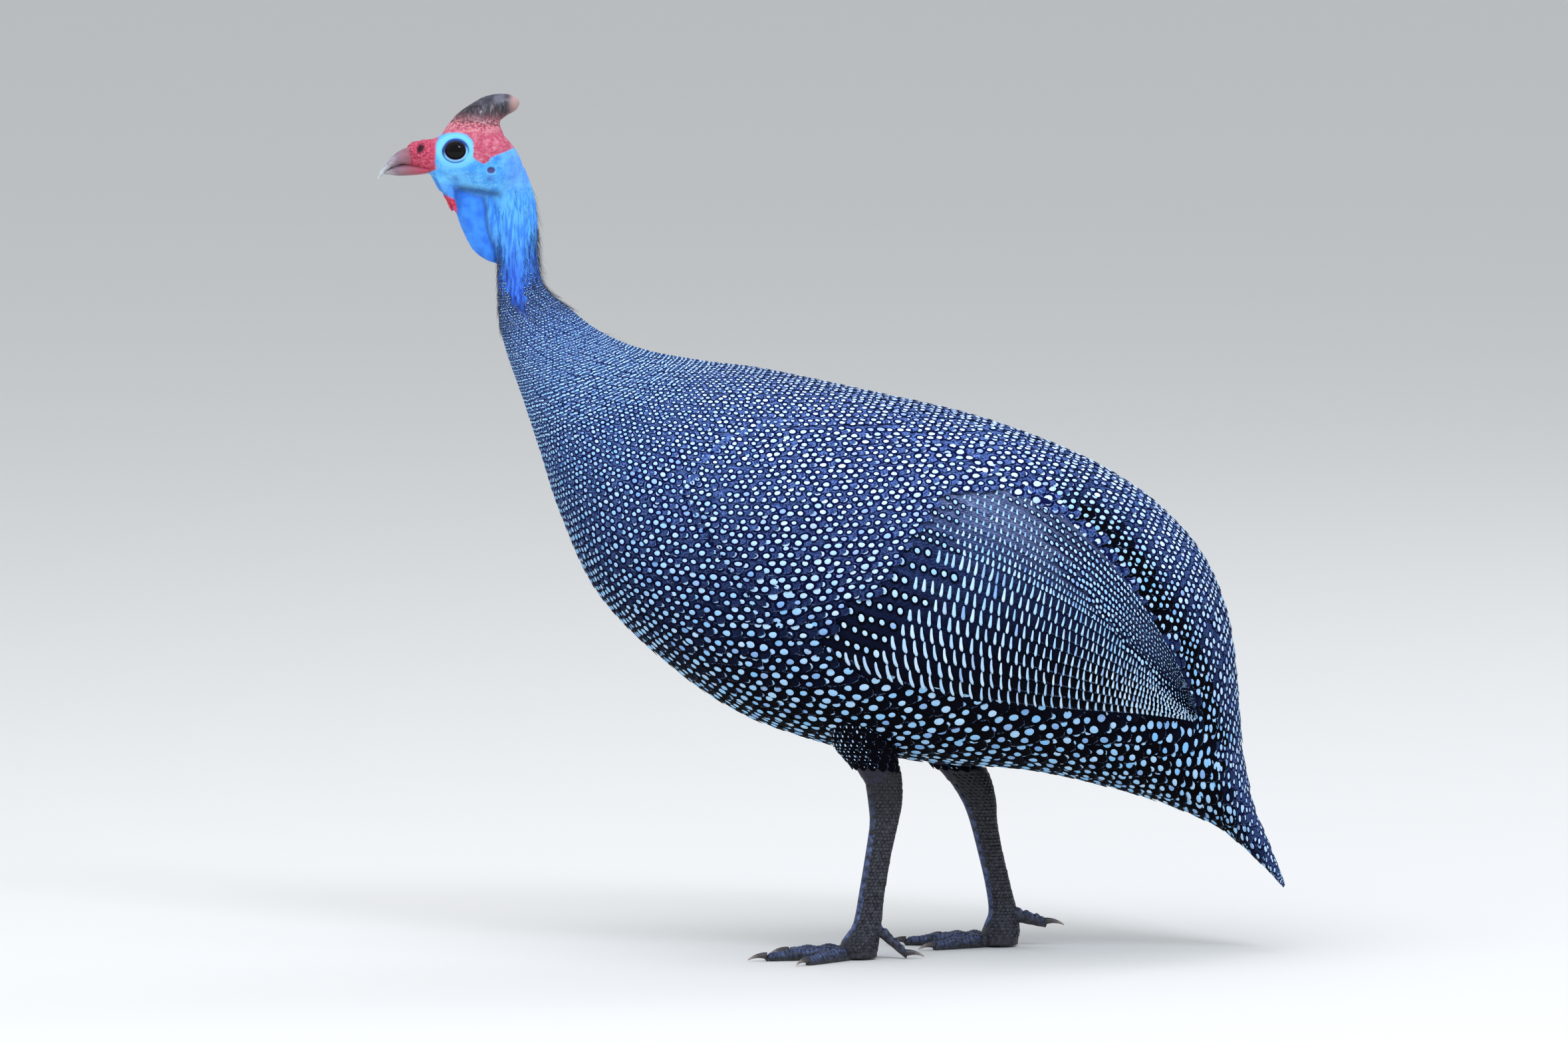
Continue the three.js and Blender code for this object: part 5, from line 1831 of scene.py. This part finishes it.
def build_foot(name, leg, looks):
    """Toes with their claws, and plates along the tops of the toes."""
    side, foot = leg["side"], leg["foot"]
    toes = [(which, turn + leg["yaw"], length, TOE_WIDE, TOE_HIGH, 0, (*foot, 0), TOE_START)
            for which, (turn, length) in FRONT_TOES.items()]
    at, droop = leg["hind"]
    toes.append(("hind", 180, HIND_TOE_LENGTH, HIND_TOE_WIDE, HIND_TOE_WIDE, math.tan(math.radians(droop)),
                 (at[0], at[1], at[2] - HIND_TOE_WIDE[0] / 2), 0))
    plates = Pieces()
    for which, turn, length, wide, high, droop, at, start in toes:
        lift = high[1] * 0.5 + CLAW_LIFT

        def toe_place(t, a):
            # The hind toe grows from inside the foot
            t = t if start else mix(-0.3, 1, t)
            points = toe_points(length, wide, high, droop, t, a)
            points[..., 0] -= start
            return turned_toe(points, side, turn, at)

        def claw_place(t, a):
            points = claw_points(t, a) + np.array([-length - start + 1.2, 0, lift - length * droop])
            return turned_toe(points, side, turn, at)

        title = f"toe_{name}_{which}"
        mesh = mesh_of(closed_tube(toe_place, 40, 24), title)
        give(mesh, "tone", 0.7)
        finished(title, mesh, looks["leg"], [title])
        title = f"claw_{name}_{which}"
        finished(title, mesh_of(closed_tube(claw_place, 24, 16), title), looks["claw"], [title])
        lay_toe_plates(toe_place, length, start, plates)
    faces_out(plates.build(f"toes_{name}_scutes", looks["leg"], "leg_scale"))


def lay_toe_plates(toe_place, length, start, plates):
    """A row of plates along the top of a toe."""
    t = np.linspace(0, 1, 60)[:, None]
    angle = np.linspace(0, 2 * math.pi, 48, endpoint=False)[None]
    points = toe_place(t, angle)
    lie = outward(Lie(points), points.mean(1))
    count = int(length / TOE_PLATE_LONG)
    for i in range(count):
        t0 = 0.08 + 0.88 * (i + 0.5) / count
        # The front toes grow out of the foot, which covers their roots
        if start and t0 * length < 6:
            continue
        girth = float(lie.at(lie.across, np.array(t0), np.array(0.0)))
        u = PLATE.at[None, :, 0] * girth * 0.25
        v = PLATE.at[None, :, 1] * length * MM * 0.44 / count
        lift = (0.3 + PLATE.at[None, :, 2] * 0.4) * MM
        plates.add(PLATE, lie.lay(np.array([[t0]]), np.array([[0.0]]), u, v, lift, most=0.3),
                   np.stack([u, v], -1) * 100, unwrap(np.array([0.6]), np.array([0.5])),
                   tone=random.uniform(0, 0.6, 1), plate=np.array([0.8]))


# Bristles of the neck

# Bristles tried, most of which thinning takes away, and their length and radius in millimetres
BRISTLES = 6000
BRISTLE_LENGTH = (2.5, 6)
BRISTLE_RADIUS = (0.035, 0.06)


def build_bristles(bird, looks):
    """Hair-like black feathers: few on the sides of the neck, dense before the collar and down the nape."""
    lie = bird.body
    pieces = Pieces()
    t0 = random.uniform(0.03, 0.30, BRISTLES)
    q0 = random.uniform(0, 1, BRISTLES)
    back = 1 - way_round(q0) * 2
    edge = ~bare_below(t0 + 0.035, q0) & (t0 < 0.23)
    density = np.where(edge, 0.85, 0.07) * np.where(t0 > 0.23, 0.5, 1)
    density = np.maximum(density, 0.22 * fade(back, 0.6, 0.95) * fade(t0, 0.03, 0.08) * (t0 < 0.2))
    density *= 1 - fade(0.2 - back, 0, 0.1) * (t0 < 0.10)
    keep = random.uniform(0, 1, BRISTLES) < density
    t0, q0, back = t0[keep], q0[keep], back[keep]
    n = len(t0)
    length = random.uniform(*BRISTLE_LENGTH, n) * MM * (1 + 0.5 * fade(back, 0.7, 1) * (t0 < 0.15))
    radius = random.uniform(*BRISTLE_RADIUS, n) * MM
    up = np.clip(SPIKE.at[None, :, 1], 0, 1)
    u = SPIKE.at[None, :, 0] * radius[:, None] + random.normal(0, 0.14, n)[:, None] * up * length[:, None]
    stand = random.uniform(0.03, 0.30, n) + 0.15 * fade(back, 0.7, 1)
    lift = SPIKE.at[None, :, 2] * radius[:, None] + up ** 1.3 * (length * stand)[:, None]
    pieces.add(SPIKE, lie.lay(t0[:, None], q0[:, None], u, up * length[:, None], lift),
               np.broadcast_to(SPIKE.at[None][:, :, :2], (n, len(SPIKE.at), 2)), unwrap(t0, q0))
    faces_out(pieces.build("neck_bristles", looks["bristle"], "plumage"))


# Studio

# Lamps: place and width in metres, power in watts, and colour
LAMPS = {
    "sky_softbox": ((-0.5, -0.7, 2.4), 2.2, 40, "#F0F5FF"),
    "front_softbox": ((-1.4, -2.6, 1.3), 2.4, 15, "#FFFCF6"),
    "window_softbox": ((1.05, -1.95, 2.1), 0.8, 30, "#DCE9FF"),
    "back_softbox": ((1.6, 1.4, 1.5), 1.2, 14, "#EAF1FF"),
}
LAMPS_AIM = (0, 0, 0.2)
ROOM_COLOUR = "#E6EEFA"
ROOM_LIGHT = 0.8
FLOOR_HALF_WIDTH = 40


def build_studio(looks):
    """Floor, lamps and the pale room round them."""
    bm = bmesh.new()
    bmesh.ops.create_grid(bm, x_segments=1, y_segments=1, size=FLOOR_HALF_WIDTH)
    mesh = mesh_of(bm, "studio_floor")
    mesh.materials.append(looks["floor"])
    floor = bpy.data.objects.new("studio_floor", mesh)
    bpy.context.scene.collection.objects.link(floor)
    for name, (at, size, power, colour) in LAMPS.items():
        light = bpy.data.lights.new(name, "AREA")
        light.size = size
        light.energy = power
        light.color = linear(colour)[:3]
        lamp = bpy.data.objects.new(name, light)
        lamp.location = at
        lamp.rotation_euler = (Vector(LAMPS_AIM) - Vector(at)).to_track_quat("-Z", "Y").to_euler()
        lamp.visible_camera = False
        # The eyes mirror the window alone
        lamp.visible_glossy = name == "window_softbox"
        bpy.context.scene.collection.objects.link(lamp)
    world = bpy.data.worlds.new("studio")
    world.use_nodes = True
    background = world.node_tree.nodes["Background"]
    background.inputs[0].default_value = linear(ROOM_COLOUR)
    background.inputs[1].default_value = ROOM_LIGHT
    bpy.context.scene.world = world
    bpy.context.scene.view_settings.view_transform = "Standard"


# The photograph's view: level with the bird from its left, five degrees up
CAMERA_AIM = (-0.0217, 0, 0.1954)
CAMERA_DISTANCE = 12.0
CAMERA_RISE = math.radians(5)
VIEW_WIDTH = 0.7074


def build_camera():
    """The photograph's camera."""
    data = bpy.data.cameras.new("camera")
    data.sensor_width = 36
    data.lens = data.sensor_width * CAMERA_DISTANCE / VIEW_WIDTH
    data.clip_end = 100
    camera = bpy.data.objects.new("camera", data)
    back = Vector((0, -math.cos(CAMERA_RISE), math.sin(CAMERA_RISE)))
    camera.location = Vector(CAMERA_AIM) + back * CAMERA_DISTANCE
    camera.rotation_euler = (-back).to_track_quat("-Z", "Y").to_euler()
    bpy.context.scene.collection.objects.link(camera)
    bpy.context.scene.camera = camera


def main():
    looks = {
        "plumage": plumage_material(), "spot": spot_material(), "surround": surround_material(),
        "bristle": bristle_material(), "skin": skin_material(),
        "casque": casque_material(), "bill": bill_material(), "eye": eye_material(),
        "leg": leg_material(), "claw": claw_material(), "floor": floor_material(),
    }
    build_camera()
    build_studio(looks)
    bird = Bird()
    build_skin(bird, looks)
    build_head_parts(looks)
    build_contour_feathers(bird, looks)
    build_wing(bird, -1, "left", looks)
    build_wing(bird, 1, "right", looks)
    build_bristles(bird, looks)
    build_legs(looks)


main()
